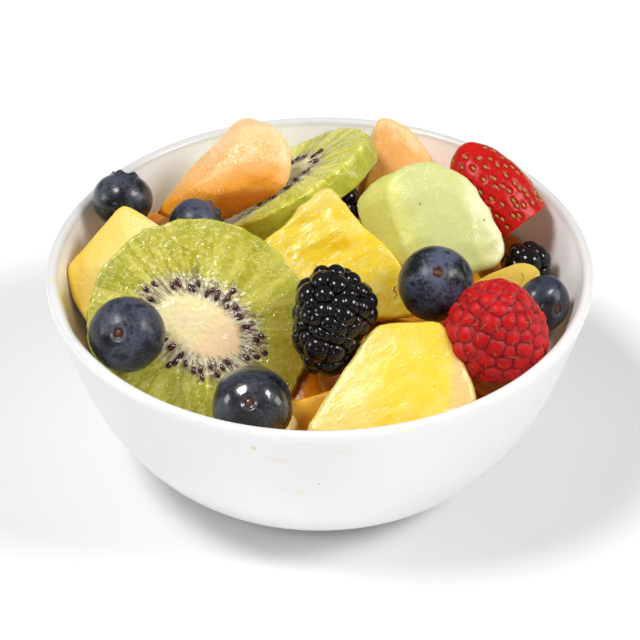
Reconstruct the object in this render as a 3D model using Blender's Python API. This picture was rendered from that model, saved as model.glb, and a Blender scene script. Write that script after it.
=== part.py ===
"""Fruit salad heaped in a round white bowl, with one solid for each piece of fruit that shows.

The bowl stands on its base with the base centre at the origin, +Z up, and is looked at from -Y.
Lengths are millimetres and angles are degrees; MM turns them into metres when a mesh is made.
"""

import math
import random

import bmesh
import bpy
from mathutils import Matrix, Vector, noise
from mathutils.bvhtree import BVHTree
from mathutils.geometry import barycentric_transform, delaunay_2d_cdt

MM = 0.001
AXES = (Vector((1.0, 0.0, 0.0)), Vector((0.0, 1.0, 0.0)), Vector((0.0, 0.0, 1.0)))

# Bowl
RIM_RADIUS = 60.0
BOWL_HEIGHT = 48.0
WALL_STATIONS = ((0.0, 32.6), (2.9, 36.4), (8.6, 43.3), (19.2, 50.6), (33.6, 56.1), (48.0, 60.0))
WALL_HEIGHTS = (6.4, 10.5, 16.0, 23.0, 32.0, 42.0)
BASE_RADIUS = 30.5
BASE_BEND_RADIUS = 34.4
BASE_BEND_HEIGHT = 3.4
LIP_THICKNESS = 2.6
FOOT_THICKNESS = 4.2
BOWL_SEGMENTS = 40

# Fruit
BLUEBERRY_SEGMENTS = 15
SCAR_RADIUS = 1.1
CROWN_RADIUS = 2.7
KIWI_SEGMENTS = 32
STRAWBERRY_SEGMENTS = 20
CORNER_POINTS = 3

# Lower fruit: the hidden rest of the heap
FILL_CENTRE_LEVEL = 45.0
FILL_EDGE_LEVEL = 37.0
FILL_EDGE_POINTS = 36
FILL_POINT_SPACING = 5.9
FILL_SIDE_HEIGHTS = (22.0, 12.0)
PIECE_GAP = 0.8
WALL_GAP = 0.8
PROBE_STEP = 1.4

COLOURS = {
    "white_glaze": ((0.86, 0.86, 0.85), 0.12),
    "kiwi_flesh": ((0.47, 0.53, 0.08), 0.3),
    "blueberry_skin": ((0.02, 0.03, 0.06), 0.4),
    "bramble_skin": ((0.006, 0.005, 0.008), 0.15),
    "raspberry_skin": ((0.6, 0.02, 0.04), 0.4),
    "strawberry_skin": ((0.55, 0.02, 0.02), 0.25),
    "orange_melon_flesh": ((0.9, 0.4, 0.1), 0.3),
    "green_melon_flesh": ((0.66, 0.72, 0.3), 0.3),
    "pineapple_flesh": ((0.9, 0.68, 0.1), 0.3),
    "golden_flesh": ((0.86, 0.55, 0.08), 0.3),
}


# ---------------------------------------------------------------- shared construction


def clear_scene():
    """Remove every object, so that the model starts empty."""
    for old in list(bpy.data.objects):
        bpy.data.objects.remove(old, do_unlink=True)


def make_material(slot):
    """Principled material of one kind of surface."""
    colour, roughness = COLOURS[slot]
    material = bpy.data.materials.get(slot) or bpy.data.materials.new(slot)
    material.use_nodes = True
    shader = material.node_tree.nodes["Principled BSDF"]
    shader.inputs["Base Color"].default_value = (*colour, 1.0)
    shader.inputs["Roughness"].default_value = roughness
    shader.inputs["Metallic"].default_value = 0.0
    return material


def facing(azimuth, elevation, spin=0.0):
    """Rotation whose local Z looks along a compass direction, with local Y uphill before the spin."""
    turn = math.radians(azimuth)
    lift = math.radians(elevation)
    look = Vector((math.cos(lift) * math.cos(turn), math.cos(lift) * math.sin(turn), math.sin(lift)))
    uphill = Vector((-math.sin(lift) * math.cos(turn), -math.sin(lift) * math.sin(turn), math.cos(lift)))
    right = uphill.cross(look)
    basis = Matrix((right, uphill, look)).transposed()
    return basis @ Matrix.Rotation(math.radians(spin), 3, "Z")


def skin(rings):
    """Closed mesh through rings of points; a ring of one point is a pole."""
    bm = bmesh.new()
    loops = [[bm.verts.new(point) for point in ring] for ring in rings]
    for lower, upper in zip(loops, loops[1:]):
        count = max(len(lower), len(upper))
        for i in range(count):
            j = (i + 1) % count
            near = [lower[i % len(lower)], lower[j % len(lower)]]
            far = [upper[j % len(upper)], upper[i % len(upper)]]
            bm.faces.new(list(dict.fromkeys(near + far)))
    return bm


def place(name, bm, slot, location=(0.0, 0.0, 0.0), rotation=None, sharp=35.0):
    """Turn a millimetre mesh into a named, smooth-shaded object at its place."""
    bmesh.ops.recalc_face_normals(bm, faces=bm.faces)
    bmesh.ops.triangulate(bm, faces=bm.faces)
    bmesh.ops.scale(bm, vec=(MM, MM, MM), verts=bm.verts)
    mesh = bpy.data.meshes.new(name)
    bm.to_mesh(mesh)
    bm.free()
    mesh.shade_smooth()
    mesh.set_sharp_from_angle(angle=math.radians(sharp))
    mesh.materials.append(make_material(slot))
    piece = bpy.data.objects.new(name, mesh)
    piece.location = Vector(location) * MM
    if rotation is not None:
        piece.rotation_euler = rotation.to_euler()
    bpy.context.scene.collection.objects.link(piece)
    return piece


# ---------------------------------------------------------------- bowl


def wall_radius(height):
    """Outer radius of the bowl at a height, on a smooth curve through the wall stations."""
    heights = [station[0] for station in WALL_STATIONS]
    radii = [station[1] for station in WALL_STATIONS]
    last = len(heights) - 1
    i = max(k for k in range(last) if heights[k] <= height or k == 0)
    slopes = []
    for k in (i, i + 1):
        before = max(k - 1, 0)
        after = min(k + 1, last)
        slopes.append((radii[after] - radii[before]) / (heights[after] - heights[before]))
    span = heights[i + 1] - heights[i]
    t = (height - heights[i]) / span
    rise = radii[i + 1] - radii[i]
    bend_in = slopes[0] * span
    bend_out = slopes[1] * span
    return (
        radii[i]
        + bend_in * t
        + (3.0 * rise - 2.0 * bend_in - bend_out) * t ** 2
        + (bend_in + bend_out - 2.0 * rise) * t ** 3
    )


def wall_thickness(height):
    """The wall thins from the foot to the lip."""
    return FOOT_THICKNESS + (LIP_THICKNESS - FOOT_THICKNESS) * height / BOWL_HEIGHT


def inner_radius(height):
    return wall_radius(height) - wall_thickness(height)


def turned(profile, segments):
    """Rings for a (radius, height) profile turned about Z; a radius of zero is a pole."""
    rings = []
    for radius, height in profile:
        if radius == 0.0:
            rings.append([Vector((0.0, 0.0, height))])
            continue
        angles = [math.tau * k / segments for k in range(segments)]
        rings.append([Vector((radius * math.cos(a), radius * math.sin(a), height)) for a in angles])
    return rings


def build_bowl():
    """Plain turned bowl: flat base, rounded foot, swelling wall and a rounded lip."""
    lip = LIP_THICKNESS / 2.0
    base = Vector((BASE_RADIUS, 0.0))
    bend = Vector((BASE_BEND_RADIUS, 0.0))
    wall = Vector((wall_radius(BASE_BEND_HEIGHT), BASE_BEND_HEIGHT))
    profile = [(0.0, 0.0)]
    for t in (0.0, 0.33, 0.66, 1.0):
        profile.append(tuple(base.lerp(bend, t).lerp(bend.lerp(wall, t), t)))
    profile += [(wall_radius(h), h) for h in WALL_HEIGHTS]
    for angle in (0.0, 45.0, 90.0, 135.0, 180.0):
        turn = math.radians(angle)
        centre = RIM_RADIUS - lip
        profile.append((centre + lip * math.cos(turn), BOWL_HEIGHT - lip + lip * math.sin(turn)))
    profile += [(inner_radius(h), h) for h in reversed(WALL_HEIGHTS)]
    profile += [(inner_radius(FOOT_THICKNESS) - 5.0, FOOT_THICKNESS), (0.0, FOOT_THICKNESS)]
    place("bowl", skin(turned(profile, BOWL_SEGMENTS)), "white_glaze")


# ---------------------------------------------------------------- round berries


def build_blueberry(name, location, diameter, height, look, crown=False):
    """Squat berry: a stem scar in a dimple at one end, a five-lobed crown round a pit at the other.

    look is the direction of the end that shows: the scar, or the crown where crown is true.
    """
    radius = diameter / 2.0
    half = height / 2.0
    profile = [(0.0, half - 1.0), (SCAR_RADIUS, half - 0.9), (2.0 * SCAR_RADIUS, half - 0.2)]
    for angle in (34.0, 60.0, 86.0, 112.0, 138.0):
        turn = math.radians(angle)
        profile.append((radius * math.sin(turn), half * math.cos(turn)))
    rings = turned(profile, BLUEBERRY_SEGMENTS)
    for reach, drop, lobe in ((CROWN_RADIUS, -half - 0.1, 0.35), (0.55 * CROWN_RADIUS, -half + 1.0, 0.0)):
        ring = []
        for k in range(BLUEBERRY_SEGMENTS):
            angle = math.tau * k / BLUEBERRY_SEGMENTS
            petal = lobe * math.cos(5.0 * angle)
            ring.append(Vector((
                (reach + 0.3 * petal) * math.cos(angle),
                (reach + 0.3 * petal) * math.sin(angle),
                drop - petal,
            )))
        rings.append(ring)
    rings.append([Vector((0.0, 0.0, -half + 1.3))])
    rotation = facing(*look)
    if crown:
        rotation = rotation @ Matrix.Rotation(math.pi, 3, "X")
    place(name, skin(rings), "blueberry_skin", location, rotation)


def sphere_points(count, seed):
    """Evenly spread directions on a ball, on a spiral with a little scatter."""
    chooser = random.Random(seed)
    golden = math.pi * (3.0 - math.sqrt(5.0))
    points = []
    for k in range(count):
        height = 1.0 - 2.0 * (k + 0.5) / count
        reach = math.sqrt(1.0 - height * height)
        angle = golden * k
        point = Vector((reach * math.cos(angle), reach * math.sin(angle), height))
        scatter = Vector([chooser.uniform(-0.05, 0.05) for _ in range(3)])
        points.append((point + scatter).normalized())
    return points


def build_drupelet_berry(name, location, length, width, count, look, slot, taper, relief, seed):
    """Berry made of small round drupelets, each one a dome over its own cell of the surface.

    The tip points along look, and taper narrows the berry towards it.
    """
    cells = bmesh.new()
    for point in sphere_points(count, seed):
        cells.verts.new(point)
    bmesh.ops.convex_hull(cells, input=cells.verts)

    def on_body(direction, lift):
        girth = width / 2.0 * (1.0 - taper * direction.z)
        body = Vector((direction.x * girth, direction.y * girth, direction.z * length / 2.0))
        return body + direction * lift

    bm = bmesh.new()
    valleys = {}
    for face in cells.faces:
        centre = sum((vert.co for vert in face.verts), Vector()).normalized()
        valleys[face] = bm.verts.new(on_body(centre, -relief))
    for vert in cells.verts:
        top = bm.verts.new(on_body(vert.co.normalized(), 0.35 * relief))
        shoulders = {}
        for face in vert.link_faces:
            centre = sum((corner.co for corner in face.verts), Vector()).normalized()
            middle = vert.co.lerp(centre, 0.62).normalized()
            shoulders[face] = bm.verts.new(on_body(middle, 0.1 * relief))
        for edge in vert.link_edges:
            first, second = edge.link_faces
            bm.faces.new((top, shoulders[first], shoulders[second]))
            bm.faces.new((shoulders[first], valleys[first], valleys[second], shoulders[second]))
    cells.free()
    place(name, bm, slot, location, facing(*look), sharp=60.0)


def build_strawberry(name, location, length, width, look, spin):
    """Strawberry with a blunt tip along look and its hull end cut off flat."""
    profile = [(0.0, length)]
    for part in (0.03, 0.12, 0.26, 0.44, 0.64, 0.84, 0.97):
        girth = (1.0 - (1.0 - part) ** 2.6) ** 0.5
        shoulder = 1.0 - 0.1 * max(0.0, part - 0.7) / 0.3
        profile.append((width / 2.0 * girth * shoulder, length * (1.0 - part)))
    profile += [(0.43 * width, 0.0), (0.0, 0.0)]
    rings = turned(profile, STRAWBERRY_SEGMENTS)
    for ring in rings:
        for point in ring:
            point.y *= 0.9
            point.x += 0.5 * noise.noise(point * 0.12)
    place(name, skin(rings), "strawberry_skin", location, facing(*look, spin))


# ---------------------------------------------------------------- cut fruit


def build_kiwi_slice(name, location, width, breadth, thickness, look, spin, seed):
    """Thick round slice with a peeled, slightly scalloped edge; the origin is on the shown face."""
    edge = 0.9
    rings = [[Vector((0.0, 0.0, 0.35))]]
    levels = (
        (0.42, 0.0, 0.25), (0.8, 0.0, 0.1), (1.0, edge, 0.0), (1.0, 0.0, -edge),
        (1.0, 0.0, edge - thickness), (1.0, edge, -thickness),
    )
    for scale, inset, height in levels:
        ring = []
        for k in range(KIWI_SEGMENTS):
            angle = math.tau * k / KIWI_SEGMENTS
            outward = Vector((math.cos(angle), math.sin(angle), 0.0))
            wave = 1.0 + 0.02 * noise.noise(outward * 2.6 + Vector((seed, 0.0, 0.0)))
            x = (width / 2.0 * scale * wave - inset) * outward.x
            y = (breadth / 2.0 * scale * wave - inset) * outward.y
            ring.append(Vector((x, y, height)))
        rings.append(ring)
    rings.append([Vector((0.0, 0.0, -thickness))])
    place(name, skin(rings), "kiwi_flesh", location, facing(*look, spin))


def rounded_outline(corners, radius):
    """Corner points of a cut block, each replaced by a short arc, with one point on every side."""
    outline = []
    count = len(corners)
    for k in range(count):
        here = Vector(corners[k])
        before = Vector(corners[k - 1])
        after = Vector(corners[(k + 1) % count])
        back = before - here
        on = after - here
        start = here + back.normalized() * min(radius, 0.4 * back.length)
        end = here + on.normalized() * min(radius, 0.4 * on.length)
        for step in range(CORNER_POINTS):
            t = step / (CORNER_POINTS - 1)
            outline.append(start.lerp(here, t).lerp(here.lerp(end, t), t))
        outline.append(end.lerp(after + (here - after).normalized() * min(radius, 0.4 * on.length), 0.5))
    return outline


def build_chunk(name, slot, location, look, corners, depth, crown, edge, spread=1.0, shift=(0.0, 0.0)):
    """Block cut from a larger fruit, with its shown face towards look.

    corners is the outline of the shown face as seen from the front, crown is how far that face
    swells, edge is the rounding where faces meet, and spread and shift size and move the back face.
    """
    outline = rounded_outline(corners, 1.3 * edge)
    centre = sum(outline, Vector((0.0, 0.0))) / len(outline)
    reach = sum((point - centre).length for point in outline) / len(outline)
    inset = edge / reach
    levels = [(0.5, 0.75 * crown, 0.0)]
    for angle in (15.0, 45.0, 75.0):
        turn = math.radians(angle)
        levels.append((1.0 - inset * (1.0 - math.sin(turn)), -edge * (1.0 - math.cos(turn)), 0.0))
    levels.append((1.0, edge - depth, 1.0))
    levels.append((1.0 - 0.8 * inset, -depth, 1.0))
    rings = [[Vector((centre.x, centre.y, crown))]]
    for scale, height, back in levels:
        size = scale * (1.0 + back * (spread - 1.0))
        ring = []
        for point in outline:
            flat = centre + (point - centre) * size + Vector(shift) * back
            wobble = 0.35 * noise.noise(Vector((flat.x, flat.y, height)) * 0.35)
            ring.append(Vector((flat.x, flat.y, height + wobble * (1.0 - back))))
        rings.append(ring)
    rings.append([Vector((centre.x + shift[0], centre.y + shift[1], -depth))])
    place(name, skin(rings), slot, location, facing(*look))


# ---------------------------------------------------------------- the heap


def build_berries():
    """The whole berries, named by where they lie."""
    build_blueberry("blueberry_rear_left", (-44.2, 23.6, 48.8), 13.8, 12.2, (81.0, 47.0), crown=True)
    build_blueberry("blueberry_behind_kiwi", (-27.9, 14.9, 47.8), 12.8, 11.6, (33.0, 20.0), crown=True)
    build_blueberry("blueberry_left", (-41.3, -25.6, 48.5), 16.4, 15.0, (-105.0, 38.0))
    build_blueberry("blueberry_front", (-14.6, -39.3, 39.8), 17.4, 16.4, (-95.0, 43.0))
    build_blueberry("blueberry_middle", (25.0, -10.3, 50.2), 16.7, 15.6, (-87.0, 56.0))
    build_blueberry("blueberry_right", (48.8, -8.8, 43.3), 12.7, 10.2, (-50.0, 12.0))
    build_drupelet_berry(
        "bramble_middle", (2.9, -22.9, 50.0), 23.5, 17.3, 40, (106.0, 55.0), "bramble_skin",
        taper=0.02, relief=1.1, seed=3,
    )
    build_drupelet_berry(
        "bramble_right", (45.8, 10.6, 39.4), 12.4, 10.4, 18, (-30.0, 40.0), "bramble_skin",
        taper=0.0, relief=0.8, seed=5,
    )
    build_drupelet_berry(
        "bramble_back", (5.2, 32.0, 41.0), 11.0, 9.0, 14, (-80.0, 70.0), "bramble_skin",
        taper=0.0, relief=0.7, seed=8,
    )
    build_drupelet_berry(
        "raspberry", (38.2, -24.0, 48.8), 21.3, 20.8, 54, (-110.0, 58.0), "raspberry_skin",
        taper=0.06, relief=0.8, seed=2,
    )
    build_strawberry("strawberry", (44.9, 19.1, 44.4), 22.6, 18.6, (141.0, 40.0), 0.0)


def build_cut_fruit():
    """The slices and chunks that make the top of the heap."""
    build_kiwi_slice("kiwi_front", (-26.1, -17.3, 44.3), 50.0, 47.0, 6.5, (-90.0, 45.0), -40.0, seed=1.0)
    build_kiwi_slice("kiwi_back", (-7.9, 34.6, 47.9), 37.8, 44.5, 6.0, (157.0, 56.0), 0.0, seed=4.0)
    build_chunk(
        "cantaloupe_left", "orange_melon_flesh", (-19.1, 26.8, 54.9), (-105.0, 44.0),
        ((-18.6, -13.0), (-8.5, 0.0), (-0.5, 11.8), (6.8, 12.6), (12.4, 7.0), (13.2, -1.8), (-2.4, -13.0)),
        depth=9.0, crown=2.6, edge=3.0, spread=0.6, shift=(-2.5, 6.0),
    )
    build_chunk(
        "cantaloupe_back", "orange_melon_flesh", (18.6, 42.1, 50.0), (-80.0, 40.0),
        ((-4.0, 8.0), (2.8, 5.8), (8.2, -3.6), (5.2, -11.9), (-10.9, -11.2)),
        depth=10.0, crown=0.8, edge=1.6,
    )
    build_chunk(
        "honeydew", "green_melon_flesh", (24.3, 11.4, 54.0), (-85.0, 45.0),
        (
            (-10.5, 6.5), (-4.7, 12.0), (3.6, 11.8), (10.8, 6.4),
            (17.2, -8.0), (15.2, -13.2), (0.8, -16.0), (-6.5, -11.0),
        ),
        depth=11.0, crown=1.3, edge=2.2, spread=0.88, shift=(-7.0, -0.5),
    )
    build_chunk(
        "pineapple_middle", "pineapple_flesh", (3.4, 2.6, 50.0), (-90.0, 52.0),
        ((-1.2, 14.6), (15.2, -3.2), (19.5, -15.0), (-7.8, -18.1), (-16.6, 2.4)),
        depth=10.0, crown=0.8, edge=1.4, spread=0.86,
    )
    build_chunk(
        "pineapple_front", "pineapple_flesh", (16.8, -34.4, 44.7), (-90.0, 50.0),
        ((-18.1, -12.8), (-3.0, 10.9), (9.1, 11.7), (16.0, -2.9), (16.2, -7.2), (12.9, -12.0), (-14.5, -14.7)),
        depth=12.0, crown=1.2, edge=1.6, spread=0.76, shift=(4.0, -2.0),
    )
    build_chunk(
        "mango_left", "golden_flesh", (-43.9, 1.7, 47.0), (-120.0, 50.0),
        ((-5.4, 14.0), (5.3, 11.3), (13.4, 6.0), (12.7, -3.8), (-1.2, -15.6), (-7.3, -10.8), (-11.4, -4.1)),
        depth=9.0, crown=0.8, edge=1.5,
    )
    build_chunk(
        "mango_right", "golden_flesh", (42.3, -0.3, 45.0), (-100.0, 60.0),
        ((-9.4, -2.4), (0.3, 3.6), (4.6, 3.8), (6.7, 1.4), (4.6, -4.6), (-6.9, -5.6)),
        depth=6.0, crown=0.6, edge=1.2,
    )
    build_chunk(
        "mango_under_bramble", "golden_flesh", (3.2, -22.9, 33.1), (-60.0, 42.0),
        ((-3.4, 6.5), (6.0, 6.5), (6.0, -4.0), (-4.5, -7.0)),
        depth=7.0, crown=0.4, edge=1.0, spread=0.8,
    )
    build_chunk(
        "mango_front", "golden_flesh", (-0.6, -35.7, 35.0), (-80.0, 40.0),
        ((-4.6, 2.6), (2.8, 5.2), (0.0, -6.3), (-4.6, -6.3)),
        depth=4.5, crown=0.4, edge=1.0, spread=0.8,
    )
    build_chunk(
        "mango_under_raspberry", "golden_flesh", (40.6, -16.3, 33.2), (-38.0, 62.0),
        ((-12.5, 4.6), (13.5, 4.6), (11.5, -5.0), (-10.5, -5.5)),
        depth=6.0, crown=0.5, edge=1.2, spread=0.85,
    )


# ---------------------------------------------------------------- lower fruit


def heap_tree():
    """Search tree of every piece of fruit placed so far, in millimetres."""
    bpy.context.view_layer.update()
    points = []
    faces = []
    for piece in bpy.context.scene.objects:
        if piece.name == "bowl":
            continue
        first = len(points)
        points += [piece.matrix_world @ vert.co / MM for vert in piece.data.vertices]
        faces += [[first + index for index in face.vertices] for face in piece.data.polygons]
    return BVHTree.FromPolygons(points, faces)


def fill_limit(point):
    """Highest level of the lower fruit: a low uneven mound."""
    share = (point.length / inner_radius(FILL_EDGE_LEVEL)) ** 2
    level = FILL_CENTRE_LEVEL + (FILL_EDGE_LEVEL - FILL_CENTRE_LEVEL) * share
    return level + 2.2 * noise.noise(Vector((point.x, point.y, 0.0)) * 0.11)


def probe_ceilings():
    """Room under the heap at each point of a fine square grid, less a gap on every side."""
    tree = heap_tree()
    steps = int(RIM_RADIUS / PROBE_STEP)
    span = range(-steps, steps + 1)
    undersides = {}
    for i in span:
        for j in span:
            start = Vector((i * PROBE_STEP, j * PROBE_STEP, 0.0))
            hit = tree.ray_cast(start, Vector((0.0, 0.0, 1.0)))[0]
            undersides[i, j] = hit.z if hit else math.inf
    ceilings = []
    for i, j in undersides:
        near = [undersides.get((i + a, j + b), math.inf) for a in (-1, 0, 1) for b in (-1, 0, 1)]
        if min(near) < math.inf:
            ceilings.append(Vector((i * PROBE_STEP, j * PROBE_STEP, min(near) - PIECE_GAP)))
    return ceilings


def fill_plan():
    """Plan of the lower fruit's top: an even spread of points inside a ring of edge points."""
    edge = inner_radius(FILL_EDGE_LEVEL) - WALL_GAP
    angles = [math.tau * k / FILL_EDGE_POINTS for k in range(FILL_EDGE_POINTS)]
    plan = [Vector((edge * math.cos(a), edge * math.sin(a))) for a in angles]
    row_height = FILL_POINT_SPACING * math.sqrt(0.75)
    rows = int(edge / row_height)
    for row in range(-rows, rows + 1):
        for column in range(-rows, rows + 1):
            point = Vector(((column + 0.5 * (row % 2)) * FILL_POINT_SPACING, row * row_height))
            if point.length < edge - 1.1 * FILL_POINT_SPACING:
                plan.append(point)
    faces = delaunay_2d_cdt(plan, [], [], 0, 0.001)[2]
    return plan, faces, angles


def drape(plan, faces):
    """Heights of the plan's points, lowered until no face passes through what lies above it."""
    heights = [fill_limit(point) for point in plan]
    ceilings = probe_ceilings()
    held = []
    for face in faces:
        corners = [plan[index].to_3d() for index in face]
        low_x = min(corner.x for corner in corners)
        high_x = max(corner.x for corner in corners)
        low_y = min(corner.y for corner in corners)
        high_y = max(corner.y for corner in corners)
        for probe in ceilings:
            if not (low_x <= probe.x <= high_x and low_y <= probe.y <= high_y):
                continue
            spot = Vector((probe.x, probe.y, 0.0))
            shares = barycentric_transform(spot, *corners, *AXES)
            if min(shares) > 0.001:
                held.append((face, shares, probe.z))
    for _ in range(12):
        for face, shares, ceiling in held:
            excess = sum(heights[index] * share for index, share in zip(face, shares)) - ceiling
            if excess <= 0.0:
                continue
            high = [(index, share) for index, share in zip(face, shares) if heights[index] > ceiling]
            square = sum(share * share for index, share in high)
            for index, share in high:
                heights[index] = max(ceiling, heights[index] - excess * share / square)
    return heights


def build_lower_fruit():
    """The fruit under the shown pieces, as one solid that fills the bowl up to just below them."""
    plan, faces, angles = fill_plan()
    heights = drape(plan, faces)
    for k in range(FILL_EDGE_POINTS):
        plan[k] = plan[k].normalized() * (inner_radius(heights[k]) - WALL_GAP)
    bm = bmesh.new()
    top = [bm.verts.new((point.x, point.y, height)) for point, height in zip(plan, heights)]
    for face in faces:
        bm.faces.new([top[index] for index in face])
    floor = FOOT_THICKNESS + WALL_GAP
    upper = top[:FILL_EDGE_POINTS]
    for height in (*FILL_SIDE_HEIGHTS, floor):
        edge = inner_radius(height) - WALL_GAP - (5.0 if height == floor else 0.0)
        lower = [bm.verts.new((edge * math.cos(a), edge * math.sin(a), height)) for a in angles]
        for i in range(FILL_EDGE_POINTS):
            j = (i + 1) % FILL_EDGE_POINTS
            bm.faces.new((upper[i], upper[j], lower[j], lower[i]))
        upper = lower
    bm.faces.new(upper)
    place("lower_fruit", bm, "golden_flesh", sharp=60.0)


def main():
    clear_scene()
    build_bowl()
    build_berries()
    build_cut_fruit()
    build_lower_fruit()


main()
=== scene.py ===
"""Fruit salad in a white bowl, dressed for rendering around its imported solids.

Each piece is made in millimetres about the middle of its own solid, with local Z along the
direction that the piece looks in, and is then seated on that solid.
"""

import math
import random

import bpy
import numpy as np
from mathutils import Matrix, Vector
from mathutils.bvhtree import BVHTree


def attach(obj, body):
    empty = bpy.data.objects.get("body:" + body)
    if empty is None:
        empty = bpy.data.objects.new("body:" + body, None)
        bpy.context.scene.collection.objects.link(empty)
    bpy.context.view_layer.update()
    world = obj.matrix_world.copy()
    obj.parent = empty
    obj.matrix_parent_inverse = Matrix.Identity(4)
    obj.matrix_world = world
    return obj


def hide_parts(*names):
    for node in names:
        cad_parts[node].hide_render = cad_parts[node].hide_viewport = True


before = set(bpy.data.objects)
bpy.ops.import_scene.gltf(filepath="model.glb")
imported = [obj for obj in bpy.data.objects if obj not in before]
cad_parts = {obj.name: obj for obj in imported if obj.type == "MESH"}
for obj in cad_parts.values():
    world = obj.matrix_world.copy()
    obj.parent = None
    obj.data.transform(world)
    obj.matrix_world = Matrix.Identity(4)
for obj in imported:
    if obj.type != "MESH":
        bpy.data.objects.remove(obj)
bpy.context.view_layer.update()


# ---------------------------------------------------------------- bowl
# A plain porcelain bowl, turned on a wheel: flat base, swelling wall and a rounded lip. It has a clear
# gloss glaze over white clay, with faint dried juice where fruit was dropped in. Its lip and the left and
# right of its outer wall at the front are painted greyer, as painted shade.

MM = 0.001
WALL_STATIONS = ((0.0, 32.6), (2.9, 36.4), (8.6, 43.3), (19.2, 50.6), (33.6, 56.1), (48.0, 60.0))
RIM_RADIUS = 60.0
BOWL_HEIGHT = 48.0
LIP_THICKNESS = 2.6
LIP_LEAN = math.radians(14.0)
FLARE_START = 30.0
FOOT_THICKNESS = 4.2
BASE_RADIUS = 30.5
BASE_BEND_RADIUS = 34.4
BASE_BEND_HEIGHT = 3.4
BOWL_SIDES = 200


def wall_radius(height):
    """Outer radius of the bowl, on a smooth curve through the wall stations."""
    heights, radii = np.array(WALL_STATIONS).T
    before = np.maximum(np.arange(len(radii)) - 1, 0)
    after = np.minimum(np.arange(len(radii)) + 1, len(radii) - 1)
    slopes = (radii[after] - radii[before]) / (heights[after] - heights[before])
    height = np.asarray(height, float)
    i = np.clip(np.searchsorted(heights, height, "right") - 1, 0, len(radii) - 2)
    span = heights[i + 1] - heights[i]
    t = (height - heights[i]) / span
    rise = radii[i + 1] - radii[i]
    bend_in = slopes[i] * span
    bend_out = slopes[i + 1] * span
    curve = (3.0 * rise - 2.0 * bend_in - bend_out) * t ** 2 + (bend_in + bend_out - 2.0 * rise) * t ** 3
    return radii[i] + bend_in * t + curve


def inner_radius(height):
    height = np.asarray(height, float)
    return wall_radius(height) - FOOT_THICKNESS - (LIP_THICKNESS - FOOT_THICKNESS) * height / BOWL_HEIGHT


def ramp(values, low, high):
    """Straight rise from 0 at low to 1 at high, held beyond them."""
    return np.clip((values - low) / (high - low), 0.0, 1.0)


def skins(name, pieces, sides):
    """Smooth mesh of closed skins, each with its points from pole to pole in rings of so many sides."""
    levels = (len(pieces[0]) - 2) // sides
    around = np.arange(sides)
    ahead = np.roll(around, -1)
    start = 1 + sides * np.arange(levels - 1)[:, None]
    end = 1 + sides * (levels - 1)
    walls = np.stack([start + around, start + ahead, start + sides + ahead, start + sides + around], -1)
    first_fan = np.stack([np.zeros_like(around), 1 + ahead, 1 + around], -1)
    last_fan = np.stack([np.full_like(around, sides * levels + 1), end + around, end + ahead], -1)
    shifts = len(pieces[0]) * np.arange(len(pieces))[:, None, None]
    points = np.concatenate(pieces)
    faces = []
    volume = 0.0
    for rows in (walls.reshape(-1, 4), np.concatenate([first_fan, last_fan])):
        rows = (rows + shifts).reshape(-1, rows.shape[1])
        corners = points[rows]
        for k in range(1, rows.shape[1] - 1):
            volume += (corners[:, 0] * np.cross(corners[:, k], corners[:, k + 1])).sum()
        faces += rows.tolist()
    if volume < 0.0:
        faces = [row[::-1] for row in faces]
    mesh = bpy.data.meshes.new(name)
    mesh.from_pydata((points * MM).tolist(), [], faces)
    mesh.shade_smooth()
    return mesh


def loft(name, first, rings, last):
    """Closed mesh from a first pole through rings of equally many points to a last pole."""
    return skins(name, [np.concatenate([[first], rings.reshape(-1, 3), [last]])], rings.shape[1])


def turned(radii, heights, sides):
    """Rings of a profile turned about Z."""
    angles = math.tau * np.arange(sides) / sides
    radii = np.asarray(radii, float)[:, None]
    heights = np.asarray(heights, float)[:, None] + 0.0 * angles
    return np.stack([radii * np.cos(angles), radii * np.sin(angles), heights], -1)


def add_piece(name, mesh, finish, where, slot, *nodes):
    """Move a mesh from its own axes into the bowl, hold it to the body and hide the solids that it stands
    for.
    """
    mesh.transform(where)
    mesh.materials.append(finish.material)
    piece = bpy.data.objects.new(name, mesh)
    bpy.context.scene.collection.objects.link(piece)
    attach(piece, "root")
    if nodes:
        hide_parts(*nodes)


def tone(code):
    """Linear colour of a six-digit display colour."""
    parts = [int(code[k:k + 2], 16) / 255.0 for k in (0, 2, 4)]
    return tuple(part / 12.92 if part < 0.04045 else ((part + 0.055) / 1.055) ** 2.4 for part in parts)


def feed(socket, value):
    """Link a socket to another, or set its own value; a colour may be six display digits."""
    if isinstance(value, Link):
        socket.id_data.links.new(value.socket, socket)
    elif socket.type == "RGBA":
        socket.default_value = (*(tone(value) if isinstance(value, str) else value), 1.0)
    else:
        socket.default_value = value


class Link:
    """An output socket; arithmetic on it adds Math nodes."""

    def __init__(self, socket):
        self.socket = socket

    def math(self, operation, *values):
        node = self.socket.id_data.nodes.new("ShaderNodeMath")
        node.operation = operation
        for socket, value in zip(node.inputs, values):
            feed(socket, value)
        return Link(node.outputs[0])

    def __add__(self, other):
        return self.math("ADD", self, other)

    __radd__ = __add__

    def __sub__(self, other):
        return self.math("SUBTRACT", self, other)

    def __rsub__(self, other):
        return self.math("SUBTRACT", other, self)

    def __mul__(self, other):
        return self.math("MULTIPLY", self, other)

    __rmul__ = __mul__

    def __truediv__(self, other):
        return self.math("DIVIDE", self, other)

    def __pow__(self, other):
        return self.math("POWER", self, other)

    def __abs__(self):
        return self.math("ABSOLUTE", self)


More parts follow.
